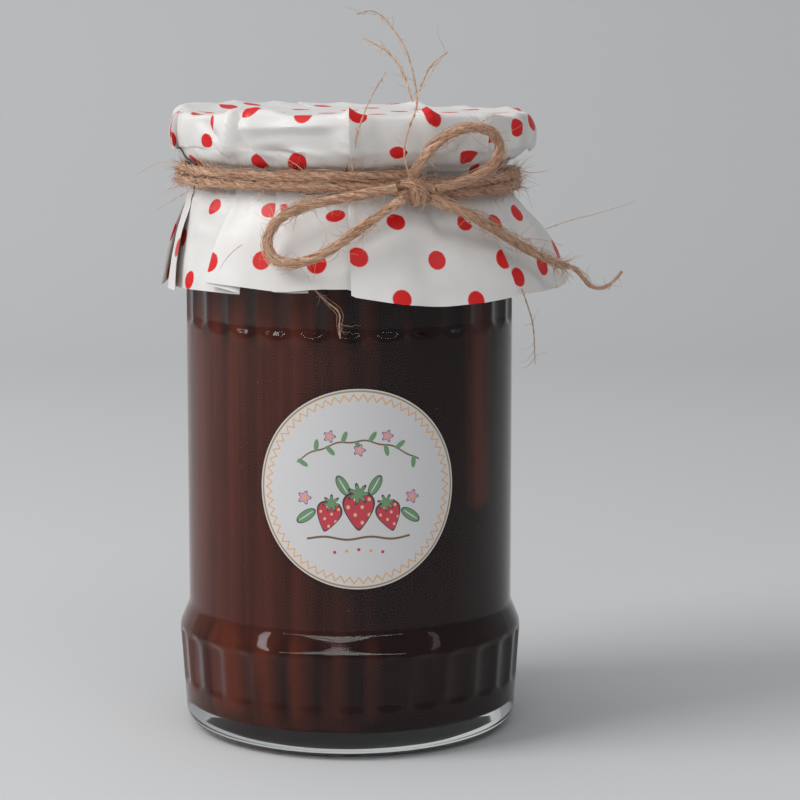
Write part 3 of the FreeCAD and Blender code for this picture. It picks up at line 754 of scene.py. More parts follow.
@dataclass
class Studio:
    """A plain pale sweep, soft lamps, and the camera."""

    eye: tuple[float, float, float] = (0.0, -734.0, 196.7)
    look_down: float = 8.6
    look_right: float = 1.03
    lens: float = 127.2
    sensor: float = 36.0
    pale: tuple = (0.58, 0.585, 0.59)

    def camera(self) -> None:
        """Sets up the camera in front of the jar."""
        let_go()
        turn = (math.radians(90 - self.look_down), 0, math.radians(-self.look_right))
        place = tuple(c * MM for c in self.eye)
        bpy.ops.object.camera_add(location=place, rotation=turn)
        camera = bpy.context.object
        camera.name = "camera"
        camera.data.lens = self.lens
        camera.data.sensor_width = self.sensor
        bpy.context.scene.camera = camera

    def sweep(self) -> None:
        """The floor, which curves up into the backdrop."""
        let_go()
        bpy.ops.mesh.primitive_plane_add(size=2.4, location=(0, 0, 0), enter_editmode=True)
        floor = named("floor")
        bpy.ops.mesh.select_all(action="DESELECT")
        let_go()
        for edge in floor.data.edges:
            ends = [floor.data.vertices[i].co.y for i in edge.vertices]
            edge.select = min(ends) > 1.0
        take_up(floor)
        bpy.ops.object.mode_set(mode="EDIT")
        bpy.ops.mesh.extrude_region_move(TRANSFORM_OT_translate={"value": (0, 0, 1.6)})
        bpy.ops.mesh.select_all(action="SELECT")
        bpy.ops.mesh.normals_make_consistent(inside=False)
        let_go()
        for edge in floor.data.edges:
            ends = [floor.data.vertices[i].co for i in edge.vertices]
            edge.select = all(c.y > 1.0 and abs(c.z) < 0.01 for c in ends)
        take_up(floor)
        bpy.ops.object.mode_set(mode="EDIT")
        bpy.ops.mesh.bevel(offset=0.5, segments=24)
        let_go()
        take_up(floor)
        bpy.ops.object.transform_apply(location=True, rotation=True, scale=True)
        smoothed(floor, 60)
        floor.data.materials.append(self.floor_paint())

    def floor_paint(self) -> bpy.types.Material:
        """Pale matt paint with a trace of grain."""
        made = Finish("floor_paint")
        made.set(Roughness=0.9, Specular_IOR_Level=0.1)
        height, clouds = made.grain(made.coordinate(), 400.0, 3.0)
        darker = tuple(c * 0.97 for c in self.pale)
        made.link(made.mixed(clouds, self.pale, darker), made.shader.inputs["Base Color"])
        made.bumped(height, 0.05, 0.2)
        return made.material

    def lamp(
        self,
        name: str,
        place: tuple[float, float, float],
        size: tuple[float, float],
        watts: float,
    ) -> None:
        """A soft rectangular lamp that faces the middle of the jar.

        Args:
            name: the lamp's name.
            place: where it hangs, in metres.
            size: its width and height in metres.
            watts: its power.
        """
        let_go()
        aim = Vector((0, 0, 0.09)) - Vector(place)
        bpy.ops.object.light_add(
            type="AREA", location=place, rotation=aim.to_track_quat("-Z", "Y").to_euler()
        )
        lamp = bpy.context.object
        lamp.name = name
        lamp.data.shape = "RECTANGLE"
        lamp.data.size, lamp.data.size_y = size
        lamp.data.energy = watts

    def light(self) -> None:
        """The lamps and a dim even world."""
        self.lamp("lamp_left", (-1.1, -0.45, 1.2), (0.8, 0.8), 16)
        self.lamp("lamp_front", (-0.1, -1.0, 0.58), (1.9, 0.07), 2.0)
        self.lamp("lamp_low_left", (-1.15, 0.05, 0.62), (1.6, 0.07), 2.4)
        self.lamp("lamp_low_right", (1.15, 0.0, 0.62), (1.5, 0.05), 0.3)
        self.lamp("lamp_high", (0.3, -0.85, 1.1), (1.5, 0.4), 3)
        self.lamp("lamp_top", (-0.3, 0.1, 1.5), (1.2, 1.0), 3)
        world = bpy.data.worlds.new("world")
        bpy.context.scene.world = world
        world.use_nodes = True
        shade = world.node_tree.nodes["Background"]
        shade.inputs["Color"].default_value = (0.95, 0.97, 1.0, 1)
        shade.inputs["Strength"].default_value = 0.3
        bpy.context.scene.view_settings.view_transform = "Standard"

    def build(self) -> None:
        """Makes the whole studio."""
        self.camera()
        self.sweep()
        self.light()


# ---- The glass and what it holds ----

@dataclass
class Jar:
    """The ribbed glass jar, the jam in it and the lid on it."""

    body_diameter: float = 85.0
    base_diameter: float = 90.0
    foot_diameter: float = 86.4
    foot_round: float = 5.4
    foot_ring: float = 34.8
    push_up: float = 1.6
    band_top: float = 27.0
    wall_bottom: float = 33.0
    shoulder_bottom: float = 129.0
    shoulder_top: float = 134.0
    neck_diameter: float = 80.4
    ring_diameter: float = 82.0
    ring_bottom: float = 139.7
    ring_top: float = 150.3
    finish_diameter: float = 79.0
    height: float = 158.9
    wall: float = 2.8
    floor: float = 4.6
    edge_round: float = 4.6
    floor_round: float = 6.0
    flutes: int = 28
    flute_depth: float = 0.8
    flute_radius: float = 14.6
    scoop_length: float = 3.4
    scoop_reach: float = 1.7
    soft_edge: float = 0.3
    low_flutes: tuple[float, float] = (10.8, 29.0)
    high_flutes: tuple[float, float] = (105.4, 134.0)
    jam_level: float = 149.0
    jam_overlap: float = 0.25
    jam_columns: int = 168
    columns_per_flute: int = 12
    row: float = 0.8
    finish: ClearGlass = ClearGlass()
    filling: DarkJam = DarkJam()
    lacquer: LidPaint = LidPaint()

    def inside(self, extra: float, top: float) -> list[tuple[float, float, float]]:
        """The corners of the jar's inside, from the middle of its floor up to a height.

        Args:
            extra: how far the outline is moved into the glass.
            top: the height that it ends at.

        Returns:
            Corners as (distance, height, rounding).
        """
        wall = self.body_diameter / 2 - self.wall + extra
        neck = self.finish_diameter / 2 - self.wall + extra
        low = self.push_up + self.floor - extra
        return [
            (0, low, 0),
            (self.foot_diameter / 2 - self.wall + extra, low, self.floor_round),
            (self.base_diameter / 2 - self.wall + extra, self.band_top, self.edge_round),
            (wall, self.wall_bottom, self.edge_round),
            (wall, self.shoulder_bottom, self.edge_round),
            (neck, self.shoulder_top, self.edge_round),
            (neck, top, 0),
        ]

    def outside(self) -> list[tuple[float, float, float]]:
        """The corners of the jar's outside, from the middle of its bottom up to the rim."""
        wall, neck = self.body_diameter / 2, self.neck_diameter / 2
        ring, finish = self.ring_diameter / 2, self.finish_diameter / 2
        return [
            (0, self.push_up, 0),
            (self.foot_ring - self.push_up, self.push_up, 0.6),
            (self.foot_ring, 0, 0.5),
            (self.foot_diameter / 2, 0, self.foot_round),
            (self.base_diameter / 2, self.band_top, self.edge_round),
            (wall, self.wall_bottom, self.edge_round),
            (wall, self.shoulder_bottom, self.edge_round),
            (neck, self.shoulder_top, self.edge_round),
            (neck, self.ring_bottom - 1, 0.5),
            (ring, self.ring_bottom, 0.5),
            (ring, self.ring_top, 0.5),
            (finish, self.ring_top + 1, 0.5),
            (finish, self.height, 1.0),
        ]

    def line_radius(self, low_band: bool, height: float) -> float:
        """The radius of the plain wall that a flute is cut in, at a height."""
        if not low_band:
            return self.body_diameter / 2
        taper = (self.base_diameter - self.foot_diameter) / 2 / self.band_top
        return self.foot_diameter / 2 + taper * height

    def press_flutes(self, obj: bpy.types.Object) -> None:
        """Presses the hollow flutes into the outside of the glass, with soft edges."""
        pitch = math.tau / self.flutes
        for vertex in obj.data.vertices:
            x, y, height = (c / MM for c in vertex.co)
            reach = math.hypot(x, y)
            for low_band, (bottom, top) in ((True, self.low_flutes), (False, self.high_flutes)):
                line = self.line_radius(low_band, height)
                if not bottom < height < top or reach < line - self.wall + 0.6:
                    continue
                turn = math.atan2(x, -y)
                middle = round(turn / pitch) * pitch
                aside, out = reach * math.sin(turn - middle), reach * math.cos(turn - middle)
                from_end = min(height - bottom, top - height)
                slope = max(0.0, 1 - from_end / self.scoop_length) * self.scoop_reach
                hollow = self.flute_radius - slope
                axis = line - self.flute_depth + self.flute_radius
                if hollow <= abs(aside):
                    continue
                scoop = axis - math.sqrt(hollow**2 - aside**2)
                out = soft_min(out, scoop, self.soft_edge)
                vertex.co.x = (out * math.sin(middle) + aside * math.cos(middle)) * MM
                vertex.co.y = -(out * math.cos(middle) - aside * math.sin(middle)) * MM

    def make_glass(self) -> bpy.types.Object:
        """The glass, a closed shell with a wall."""
        outer = filled_in(rounded_outline(self.outside()), 2.0)
        dense = []
        for start, end in zip(outer, outer[1:]):
            height = (start[1] + end[1]) / 2
            fluted = any(b - 1 < height < t + 1 for b, t in (self.low_flutes, self.high_flutes))
            run = filled_in([start, end], self.row if fluted and start[0] > 40 else 6.0)
            dense += run[:-1]
        dense.append(outer[-1])
        inner = rounded_outline(self.inside(0, self.height))
        outline = [*dense, *reversed(filled_in(inner, 6.0))]
        obj = turned_shell("jar_glass_clear", outline, self.flutes * self.columns_per_flute)
        self.press_flutes(obj)
        smoothed(obj, 50)
        return settled(obj, self.finish.material(), ("jar_glass",))

    def make_jam(self) -> bpy.types.Object:
        """The jam, which reaches just into the glass so that no air shows between them."""
        corners = self.inside(self.jam_overlap, self.jam_level)
        outline = filled_in(rounded_outline(corners), 3.0)
        reach = outline[-1][0]
        edge = (reach, self.jam_level - 0.8)
        top = [(reach * share, self.jam_level) for share in (0.97, 0.6, 0.3, 0.0)]
        obj = turned_shell("jam_filling", [*outline[:-1], edge, *top], self.jam_columns)
        smoothed(obj, 50)
        return settled(obj, self.filling.material(), ("jam",))

    def dress_lid(self) -> None:
        """Gives the lid, which stays as it is, its lacquer."""
        lid = bpy.data.objects["lid"]
        lacquer = self.lacquer.material()
        for slot in lid.material_slots:
            slot.material = lacquer
        if not lid.material_slots:
            lid.data.materials.append(lacquer)

    def build(self) -> None:
        """Makes the glass and the jam, and dresses the lid."""
        self.make_glass()
        self.make_jam()
        self.dress_lid()


# ---- The label ----

@dataclass
class Label:
    """The round label on the straight wall."""

    diameter: float = 50.6
    middle: float = 69.6
    angle: float = 2.9
    wall_radius: float = 42.5
    sheet: float = 0.16
    rings: int = 14
    columns: int = 128
    finish: LabelPrint = LabelPrint()

    def build(self) -> bpy.types.Object:
        """Makes a flat round sheet, maps it, and wraps it round the wall."""
        let_go()
        radius = self.diameter / 2
        bpy.ops.mesh.primitive_circle_add(
            vertices=self.columns, radius=radius * MM, fill_type="NOTHING", enter_editmode=True
        )
        obj = named("label_round")
        left = 1.0
        for ring in range(self.rings - 1, 0, -1):
            share = ring / self.rings
            bpy.ops.mesh.extrude_region()
            bpy.ops.transform.resize(value=(share / left,) * 3)
            left = share
        bpy.ops.mesh.extrude_region()
        bpy.ops.mesh.merge(type="CENTER")
        bpy.ops.mesh.select_all(action="SELECT")
        bpy.ops.mesh.normals_make_consistent(inside=False)
        let_go()
        mesh = obj.data
        layer = mesh.uv_layers.active or mesh.uv_layers.new(name="UVMap")
        across = self.finish.across
        for loop in mesh.loops:
            at = mesh.vertices[loop.vertex_index].co / MM
            layer.data[loop.index].uv = (at.x / across + 0.5, at.y / across + 0.5)
        for vertex in mesh.vertices:
            at = vertex.co / MM
            turn = self.angle + math.degrees(at.x / self.wall_radius)
            vertex.co = around(turn, self.wall_radius + 0.03, self.middle + at.y)
        if mesh.polygons[0].normal.y > 0:
            mesh.flip_normals()
        modified(obj, "SOLIDIFY", thickness=self.sheet * MM, offset=1.0)
        smoothed(obj, 40)
        return settled(obj, self.finish.material(), ("label",))


# ---- The paper cover ----

class Over(Enum):
    """Which side of a pleat lies on top."""

    LEFT = 1
    RIGHT = -1


class Stretch(Enum):
    """What a column of the paper's mesh lies on."""

    PANEL = "panel"
    FOLD = "fold"


@dataclass(frozen=True)
class Pleat:
    """A pleat: the angle of its visible edge at the crown, the tie and the hem, and its lift.

    The paper on the side that lies on top runs to that edge, folds back under, and runs on below.
    side and hem_lift are how far the edge stands out above the twine and at the hem, and cut is how
    far the hem rises at it on its left and on its right, in millimetres. shift and turn are the
    place of the print on the paper at its right, in millimetres and degrees.
    """

    crown: float
    tie: float
    hem: float
    over: Over
    side: float
    hem_lift: float
    cut: tuple[float, float] = (0.0, 0.0)
    shift: tuple[float, float] = (0.0, 0.0)
    turn: float = 0.0


@dataclass(frozen=True)
class Crease:
    """A crease from one place to another, each an angle and a distance along the paper.

    depth is how far it stands out, or in where negative, and width how wide it is on its left and
    right.
    """

    start: tuple[float, float]
    end: tuple[float, float]
    depth: float
    width: tuple[float, float]


@dataclass
class PaperCover:
    """The sheet of paper over the lid, tied round the neck, with pleats where it is gathered.

    Places on it are an angle and the distance along the paper from the middle of its top. The print
    is moved as its pleats and nudges say from the distances print_moved on, and nudge_spread, in
    square millimetres, is how far a nudge reaches.
    """

    lid_radius: float = 42.6
    crown_height: float = 160.6
    crown_rise: float = 1.7
    tie_radius: float = 41.2
    tie_height: float = 145.0
    tie_band: float = 7.8
    flare: float = 9.6
    lean: float = 4.0
    drop: float = 25.0
    shift: float = 0.8
    paper: float = 0.12
    press: float = 0.13
    loose: float = 0.55
    rise_width: float = 9.0
    crown_at: float = 45.2
    tie_at: float = 62.0
    tie_end: float = 69.8
    hem_at: float = 97.0
    column: float = 1.5
    flat_diameter: float = 190.0
    print_moved: tuple[float, float] = (34, 43)
    nudge_still: float = 0.12
    nudge_spread: float = 130
    pleats: tuple[Pleat, ...] = (
        Pleat(-161, -159, -156, Over.LEFT, 0.8, 1.8),
        Pleat(-134, -133, -130, Over.LEFT, 1.0, 2.0, (1.0, 0.0)),
        Pleat(-110, -108, -105, Over.LEFT, 0.7, 1.6),
        Pleat(-94, -92, -86, Over.LEFT, 0.6, 0.9, (0.0, 1.0), (-4.4, -0.9), -10),
        Pleat(-76, -74, -64, Over.LEFT, 0.4, 1.0, (0.0, 1.2), (-3.3, -2.3), -8),
        Pleat(-50, -43.5, -46, Over.RIGHT, 0.3, 1.5, (0.0, 2.4), (-3.5, 3.4), 5),
        Pleat(-37, -26, -22, Over.RIGHT, 1.3, 0.9, (0.6, 0.8), (-0.1, 0.9), 1),
        Pleat(-1, -0.5, 0.5, Over.RIGHT, 1.0, 1.2, (2.2, 0.0), (0.0, 0.0), 0),
        Pleat(46, 47, 48.5, Over.LEFT, 0.5, 1.6, (0.0, 1.0), (5.1, 4.7), -8),
        Pleat(88, 88, 92, Over.LEFT, 0.9, 2.2),
        Pleat(114, 115, 118, Over.LEFT, 0.8, 1.6, (1.2, 0.0)),
        Pleat(142, 142, 144, Over.LEFT, 0.9, 2.0),
        Pleat(168, 168, 170, Over.LEFT, 0.7, 1.6, (0.0, 1.0)),
    )
    crown_lift: tuple[tuple[float, float], ...] = (
        (-170, 0.3), (-150, 0.8), (-130, 1.1), (-108, 0.5), (-90, 0.2), (-60, 0.4), (-38, 0.9),
        (-33, 1.1), (0, 1.0), (35, 0.8), (60, 0.4), (90, 0.1), (135, 0.1),
    )
    hem_rise: tuple[tuple[float, float], ...] = (
        (-170, 1.0), (-140, 0.0), (-110, 1.5), (-88, 0.3), (-78, 0.1), (-66, 0.6), (-48, 1.6),
        (-30, 2.2), (-18, 2.3), (-8, 3.0), (0, 2.9), (1, 2.2), (14, 0.3), (27, -0.4), (38, -0.3),
        (52, 0.5), (84, 0.3), (110, 1.4), (150, 0.4),
    )
    facets: tuple[float, ...] = (
        -176, -150, -133, -112, -92, -75, -58, -41, -34, -1, 25, 50, 75, 92, 112, 135, 158,
    )
    creases: tuple[Crease, ...] = (
        Crease((-41, 42), (-41, 61), 0.9, (3.5, 3.0)),
        Crease((-38.5, 45), (-30, 60), -1.1, (3.0, 1.4)),
        Crease((-34, 42), (-35, 46), 0.7, (1.5, 4.0)),
        Crease((-33, 48.5), (-9, 47.5), 0.6, (2.4, 2.4)),
        Crease((-25, 55.5), (-17, 58.5), -1.1, (1.6, 3.0)),
        Crease((-18, 56), (-13, 58), 0.8, (2.0, 2.0)),
        Crease((-1, 42), (0, 62), 0.7, (1.2, 2.6)),
        Crease((-8, 49), (-4, 61), -0.35, (4.0, 2.0)),
        Crease((24, 43), (28, 59), 0.55, (3.0, 3.0)),
        Crease((37, 52), (33, 61), -0.8, (1.4, 4.0)),
        Crease((43, 46), (50, 60), -0.4, (3.5, 3.5)),
        Crease((-55, 47), (-48, 50), -0.7, (1.2, 2.5)),
        Crease((-71, 44), (-69, 61), 0.5, (2.0, 3.0)),
        Crease((-60, 56), (-50, 61), -0.5, (2.5, 3.5)),
        Crease((-50, 70.5), (-58, 81), 0.9, (2.0, 2.6)),
        Crease((-57, 71), (-62, 90), -0.5, (2.5, 3.0)),
        Crease((25, 70.5), (30, 79), -1.1, (1.0, 4.5)),
        Crease((36, 76), (42, 80), 0.7, (1.6, 2.2)),
        Crease((-12, 71), (-16, 92), -0.6, (4.0, 4.0)),
        Crease((66, 72), (70, 94), -0.6, (4.0, 6.0)),
        Crease((-128, 30), (-100, 46), 0.9, (4.0, 6.0)),
        Crease((-20, 25), (-28, 44), 0.5, (4.0, 5.0)),
        Crease((30, 20), (24, 44), 0.3, (4.0, 5.0)),
        Crease((68, 46), (64, 60), 0.6, (3.0, 4.0)),
        Crease((104, 45), (99, 61), 0.6, (3.0, 4.0)),
        Crease((130, 45), (126, 61), -0.6, (3.0, 4.0)),
        Crease((156, 45), (158, 61), 0.6, (3.0, 4.0)),
        Crease((104, 72), (103, 95), 0.6, (3.0, 4.0)),
        Crease((130, 72), (133, 95), -0.6, (3.0, 4.0)),
        Crease((-145, 72), (-143, 95), 0.7, (3.0, 4.0)),
        Crease((-120, 46), (-122, 61), 0.6, (3.0, 4.0)),
        Crease((-98, 72), (-96, 95), 0.5, (3.0, 4.0)),
    )
    nudges: tuple[tuple[int, float, float, float, float], ...] = (
        (3, -55.9, -5.5, -1.4, -0.1), (3, -90.7, -7.1, 1.4, 0.1), (4, -49.2, -27.1, -0.9, 2.6),
        (4, -68.5, -35.7, -0.5, 4), (4, -84.4, -24.1, 2.4, -1.8), (4, -65, -60, -2.5, -3.7),
        (4, -89.2, -37.9, 1.4, -1.1), (5, -31.1, -50.4, 1.4, 1.2), (5, -34.2, -62.4, -1.4, 0.2),
        (5, -41.3, -73.9, -0, -1.4), (6, -23.6, -37, -0.3, 0.9), (6, -12.1, -41.5, 1.2, -0.5),
        (6, -15.2, -57.6, -1.4, 2.6), (6, -15.7, -83.8, 0.5, -3.1), (7, 1.6, -44.4, 0.7, -3.4),
        (7, 18.1, -40.6, 3, 0.1), (7, 16.7, -54.8, -1.4, 1.2), (7, 35.8, -49, -1.6, 2.7),
        (7, 38.8, -30.8, 1.2, -2.4), (7, 24.9, -72.2, -2.3, -0.3), (7, 41.4, -66.5, -0, 1.3),
        (7, 18, -85.2, -1.3, -0.3), (7, 36.7, -77.3, -1.1, -1), (7, 52.7, -73, 1.8, 2),
        (7, 29.8, -90.8, -0, -0.5), (7, 47.6, -84.5, 1.1, 0.4), (8, 45.6, -21.7, 0.2, 1.5),
        (8, 67.2, -42.5, -1.1, -2.4), (8, 73.1, -30.1, -1.2, -1.7), (8, 77.2, -53.4, 2, 2.7),
        (8, 84.8, -37.5, 0.1, -0.1),
    )
    finish: CoverPaper = CoverPaper()

    def rows(self) -> list[float]:
        """Distances along the paper at which the mesh has a row, close together where it bends."""
        stretches = [
            (4.0, 36.0, 8), (36.0, self.crown_at - 3, 6), (self.crown_at - 3, 50.0, 15),
            (50.0, self.tie_at, 16), (self.tie_at, self.tie_end, 6), (self.tie_end, 76.0, 9),
            (76.0, self.hem_at, 20),
        ]
        places = [
            low + (high - low) * i / count for low, high, count in stretches for i in range(count)
        ]
        return [*places, self.hem_at]

    def profile(self, along: float, degrees: float) -> tuple[float, float]:
        """The plain sheet's distance from the axis and height.

        Args:
            along: the distance along the paper from its middle.
            degrees: the angle.

        Returns:
            The distance and the height, in millimetres.
        """
        rise = self.crown_rise * all_round(self.crown_lift, degrees)
        edge = self.lid_radius + 1.9
        high = self.tie_height + self.tie_band / 2
        low = self.tie_height - self.tie_band / 2
        flare = self.flare + self.lean * math.sin(math.radians(degrees))
        top = self.crown_height + rise
        knots = [
            (0.0, 0.0, self.crown_height),
            (30.0, 30.0, self.crown_height + rise * 0.1),
            (38.0, 38.0, self.crown_height + rise * 0.55),
            (self.crown_at - 1.3, edge - 0.8, top),
            (self.crown_at, edge + 0.35, top - 0.35),
            (self.crown_at + 1.3, edge + 0.8, top - 1.6),
            (53.5, edge + 0.7, top - 7.6),
            (58.0, edge + 0.1, high + 3.4),
            (60.4, edge - 1.3, high + 1.2),
            (self.tie_at, self.tie_radius, high),
            (self.tie_end, self.tie_radius, low),
            (72.2, self.tie_radius + 0.10 * flare, low - 2.0),
            (80.0, self.tie_radius + 0.40 * flare, low - 0.345 * self.drop),
            (89.0, self.tie_radius + 0.75 * flare, low - 0.69 * self.drop),
            (self.hem_at, self.tie_radius + flare, low - self.drop),
        ]
        return self.curve(knots, along)

    def curve(self, knots: list[tuple[float, float, float]], along: float) -> tuple[float, float]:
        """The smooth curve through knots of (distance along, distance out, height) at a place."""
        last = len(knots) - 2
        i = next((k for k in range(last + 1) if along <= knots[k + 1][0]), last)
        spans = knots[max(i - 1, 0)], knots[i], knots[i + 1], knots[min(i + 2, last + 1)]
        before, start, end, after = spans
        width = end[0] - start[0]
        t = (along - start[0]) / width
        result = []
        for axis in (1, 2):
            def slope(a: tuple, b: tuple) -> float:
                return (b[axis] - a[axis]) / (b[0] - a[0]) if b[0] > a[0] else 0.0

            first = (slope(before, start) + slope(start, end)) / 2 if i else slope(start, end)
            final = (slope(start, end) + slope(end, after)) / 2 if i < last else slope(start, end)
            result.append(
                start[axis] * (2 * t**3 - 3 * t**2 + 1)
                + end[axis] * (3 * t**2 - 2 * t**3)
                + width * (first * (t**3 - 2 * t**2 + t) + final * (t**3 - t**2))
            )
        return result[0], result[1]

    def edge_angle(self, pleat: Pleat, along: float) -> float:
        """The angle of a pleat's visible edge, at a distance along the paper."""
        places = [
            (self.crown_at, pleat.crown), (self.tie_at, pleat.tie), (self.tie_end, pleat.tie),
            (self.hem_at, pleat.hem),
        ]
        return between(places, along)

    def layer(self, along: float) -> float:
        """The room from one layer of a pleat to the next: tight at the tie, looser elsewhere."""
        side = smooth_step(along, self.crown_at - 4, 50) * (1 - smooth_step(along, 53, 60))
        skirt = smooth_step(along, 72, 84)
        folded = smooth_step(along, self.crown_at - 3, self.crown_at + 1)
        return (self.press + (self.loose - self.press) * max(side, skirt)) * folded

    def lift(self, pleat: Pleat, along: float) -> float:
        """How far a pleat's edge stands out, apart from its layers."""
        side = smooth_step(along, self.crown_at - 1, 50) * (1 - smooth_step(along, 55, 61))
        skirt = smooth_step(along, self.tie_end + 1, 90)
        return pleat.side * side + pleat.hem_lift * skirt

    def hidden(self, gap: float, along: float) -> float:
        """Half of the paper's length that a pleat takes up, in millimetres.

        Args:
            gap: degrees between the middles of the panels on its two sides.
            along: the distance along the paper.

        Returns:
            The depth of the fold.
        """
        out, _ = self.profile(along, 0.0)
        ring = max(out, 1.0)
        spare = max(0.0, along - ring - (self.crown_at - self.lid_radius - 1.9))
        return spare * math.radians(gap) / 2

    def flatness(self, degrees: float) -> float:
        """How far flat facets between the creases take the paper round the lid out or in."""
        place = (degrees + 180) % 360 - 180
        ends = [*self.facets, self.facets[0] + 360]
        if place < ends[0]:
            place += 360
        i = max(k for k in range(len(self.facets)) if ends[k] <= place)
        low, high = ends[i], ends[i + 1]
        share = (place - low) / (high - low)
        sag = self.lid_radius * math.radians(high - low) ** 2 / 8
        return min(1.1, 0.75 * sag) * (0.62 - 4 * share * (1 - share))

    def creased(self, degrees: float, along: float) -> float:
        """How far creases and crumpling move the paper out at a place."""
        out, _ = self.profile(along, degrees)
        total = 0.0
        for crease in self.creases:
            (a0, s0), (a1, s1) = crease.start, crease.end
            x = math.radians(degrees - a0) * out
            dx = math.radians(a1 - a0) * out
            y, dy = along - s0, s1 - s0
            if abs(x) > 40:
                continue
            length = math.hypot(dx, dy)
            on = (x * dx + y * dy) / length
            beside = (x * dy - y * dx) / length
            past = max(0.0, -on, on - length)
            width = crease.width[0] if beside < 0 else crease.width[1]
            reach = math.hypot(beside / width, past / 4.0)
            total += crease.depth * max(0.0, 1 - reach) ** 1.3
        total *= 2.0 - 0.8 * smooth_step(along, self.tie_at, self.tie_end)
        flat = Vector((math.radians(degrees) * 46, along, 0))
        calm = 1 - 0.6 * smooth_step(along, self.tie_end, 78)
        near = noise.voronoi(flat / 13)[0]
        total += (0.5 - min(1.0, near[1] - near[0])) * 0.34 * calm
        near = noise.voronoi(flat / 5.5 + Vector((7, 3, 0)))[0]
        total += (0.5 - min(1.0, near[1] - near[0])) * 0.11 * calm
        total += noise.noise(flat / 21) * 0.5
        side = smooth_step(along, 38, self.crown_at) * (1 - smooth_step(along, 57, 61))
        total += self.flatness(degrees) * side
        free = smooth_step(along, 36, self.crown_at - 1) * (1 - smooth_step(along, 55, 61))
        free += smooth_step(along, self.tie_end + 0.5, 76)
        free += 0.5 * smooth_step(along, 6, 20) * (1 - smooth_step(along, 36, self.crown_at - 1))
        gathers = math.sin(math.radians(degrees) * 46 * 1.9 + 2.5 * noise.noise(flat / 9))
        close = smooth_step(along, 52, 58) * (1 - smooth_step(along, 60, 62))
        close += smooth_step(along, self.tie_end, 71) * (1 - smooth_step(along, 73, 80))
        return total * free + gathers * close * 0.22

    def columns(self) -> list[tuple[Stretch, int, float]]:
        """The mesh's columns, all the way round.

        Returns:
            For each column: what it lies on, the panel there or to the left of the fold, and its
            share of the way across.
        """
        found = []
        count = len(self.pleats)
        for i, left in enumerate(self.pleats):
            right = self.pleats[(i + 1) % count]
            width = ((right.hem - left.hem) % 360) * math.radians(1) * 50
            steps = max(5, round(width / self.column))
            for k in range(steps + 1):
                share = k / steps
                spread = (1 - math.cos(math.pi * share)) * 0.15 + share * 0.7
                found.append((Stretch.PANEL, i, spread))
            for k in range(1, 6):
                found.append((Stretch.FOLD, i, k / 6))
        return found

    def panel_place(self, index: int, share: float, along: float) -> tuple[float, float, float]:
        """Where a place on a panel lies.

        Args:
            index: which panel, counted from the pleat on its left.
            share: how far from its left end to its right end.
            along: the distance along the paper.

        Returns:
            Its angle, how far it stands out from the plain sheet, and the panel's middle angle.
        """
        count = len(self.pleats)
        left, right = self.pleats[index], self.pleats[(index + 1) % count]
        wrap = 360 if index == count - 1 else 0
        middle = (left.tie + right.tie + wrap) / 2
        far_left = self.pleats[index - 1]
        far_right = self.pleats[(index + 2) % count]
        gap_left = self.middle_gap(far_left.tie, left.tie, right.tie)
        gap_right = self.middle_gap(left.tie, right.tie, far_right.tie)
        out, _ = self.profile(along, middle)
        ring = max(out, 1.0)
        fold_left = math.degrees(self.hidden(gap_left, along) / ring)
        fold_right = math.degrees(self.hidden(gap_right, along) / ring)
        low = self.edge_angle(left, along)
        high = self.edge_angle(right, along) + wrap
        layer = self.layer(along)
        tucked_left, tucked_right = left.over is Over.LEFT, right.over is Over.RIGHT
        start = low - fold_left if tucked_left else low
        end = high + fold_right if tucked_right else high
        degrees = start + (end - start) * share
        off = 0.0
        for tucked, pleat, away, fold in (
            (tucked_left, left, degrees - low, fold_left),
            (tucked_right, right, high - degrees, fold_right),
        ):
            if not tucked:
                rest = max(0.0, 1 - away / max(fold + self.rise_width, 1e-6))
                ease = smooth_step(rest, 0.0, 0.55)
                off = max(off, 2 * layer * ease + self.lift(pleat, along) * rest**1.6)
        return degrees, off, middle

    def cut_at(self, index: int, share: float) -> float:
        """How far the hem rises on a panel, apart from the whole sheet's."""
        left, right = self.pleats[index], self.pleats[(index + 1) % len(self.pleats)]
        return left.cut[1] * (1 - share) + right.cut[0] * share

    def printed_place(self, index: int, place: Vector, along: float) -> Vector:
        """Where a panel's place on the flat sheet is on the print."""
        pleat = self.pleats[index]
        share = smooth_step(along, *self.print_moved)
        turn = math.radians(pleat.turn) * share
        x, y = place
        moved = Vector((x * math.cos(turn) - y * math.sin(turn),
                        x * math.sin(turn) + y * math.cos(turn)))
        moved += Vector(pleat.shift) * share
        pull, total = Vector((0.0, 0.0)), self.nudge_still
        for panel, u, v, du, dv in self.nudges:
            if panel == index:
                weight = math.exp(-((moved.x - u) ** 2 + (moved.y - v) ** 2) / self.nudge_spread)
                pull += Vector((du, dv)) * weight
                total += weight
        return moved + pull * share / total

    def middle_gap(self, before: float, here: float, after: float) -> float:
        """Degrees between the middles of the panels on the two sides of a pleat."""
        return ((here - before) % 360 + (after - here) % 360) / 2

    def flat_place(self, degrees: float, middle: float, along: float) -> Vector:
        """Where a place on a panel lies on the sheet laid flat."""
        out, _ = self.profile(along, middle)
        across = math.radians(degrees - middle) * max(out, 1.0)
        turn = math.radians(middle)
        straight = smooth_step(along, self.crown_at - 4, 56)
        bent = turn + across / max(along, 1.0)
        polar = Vector((math.sin(bent), -math.cos(bent))) * along
        panel = Vector((math.sin(turn), -math.cos(turn))) * along
        panel += Vector((math.cos(turn), math.sin(turn))) * across
        return polar.lerp(panel, straight)

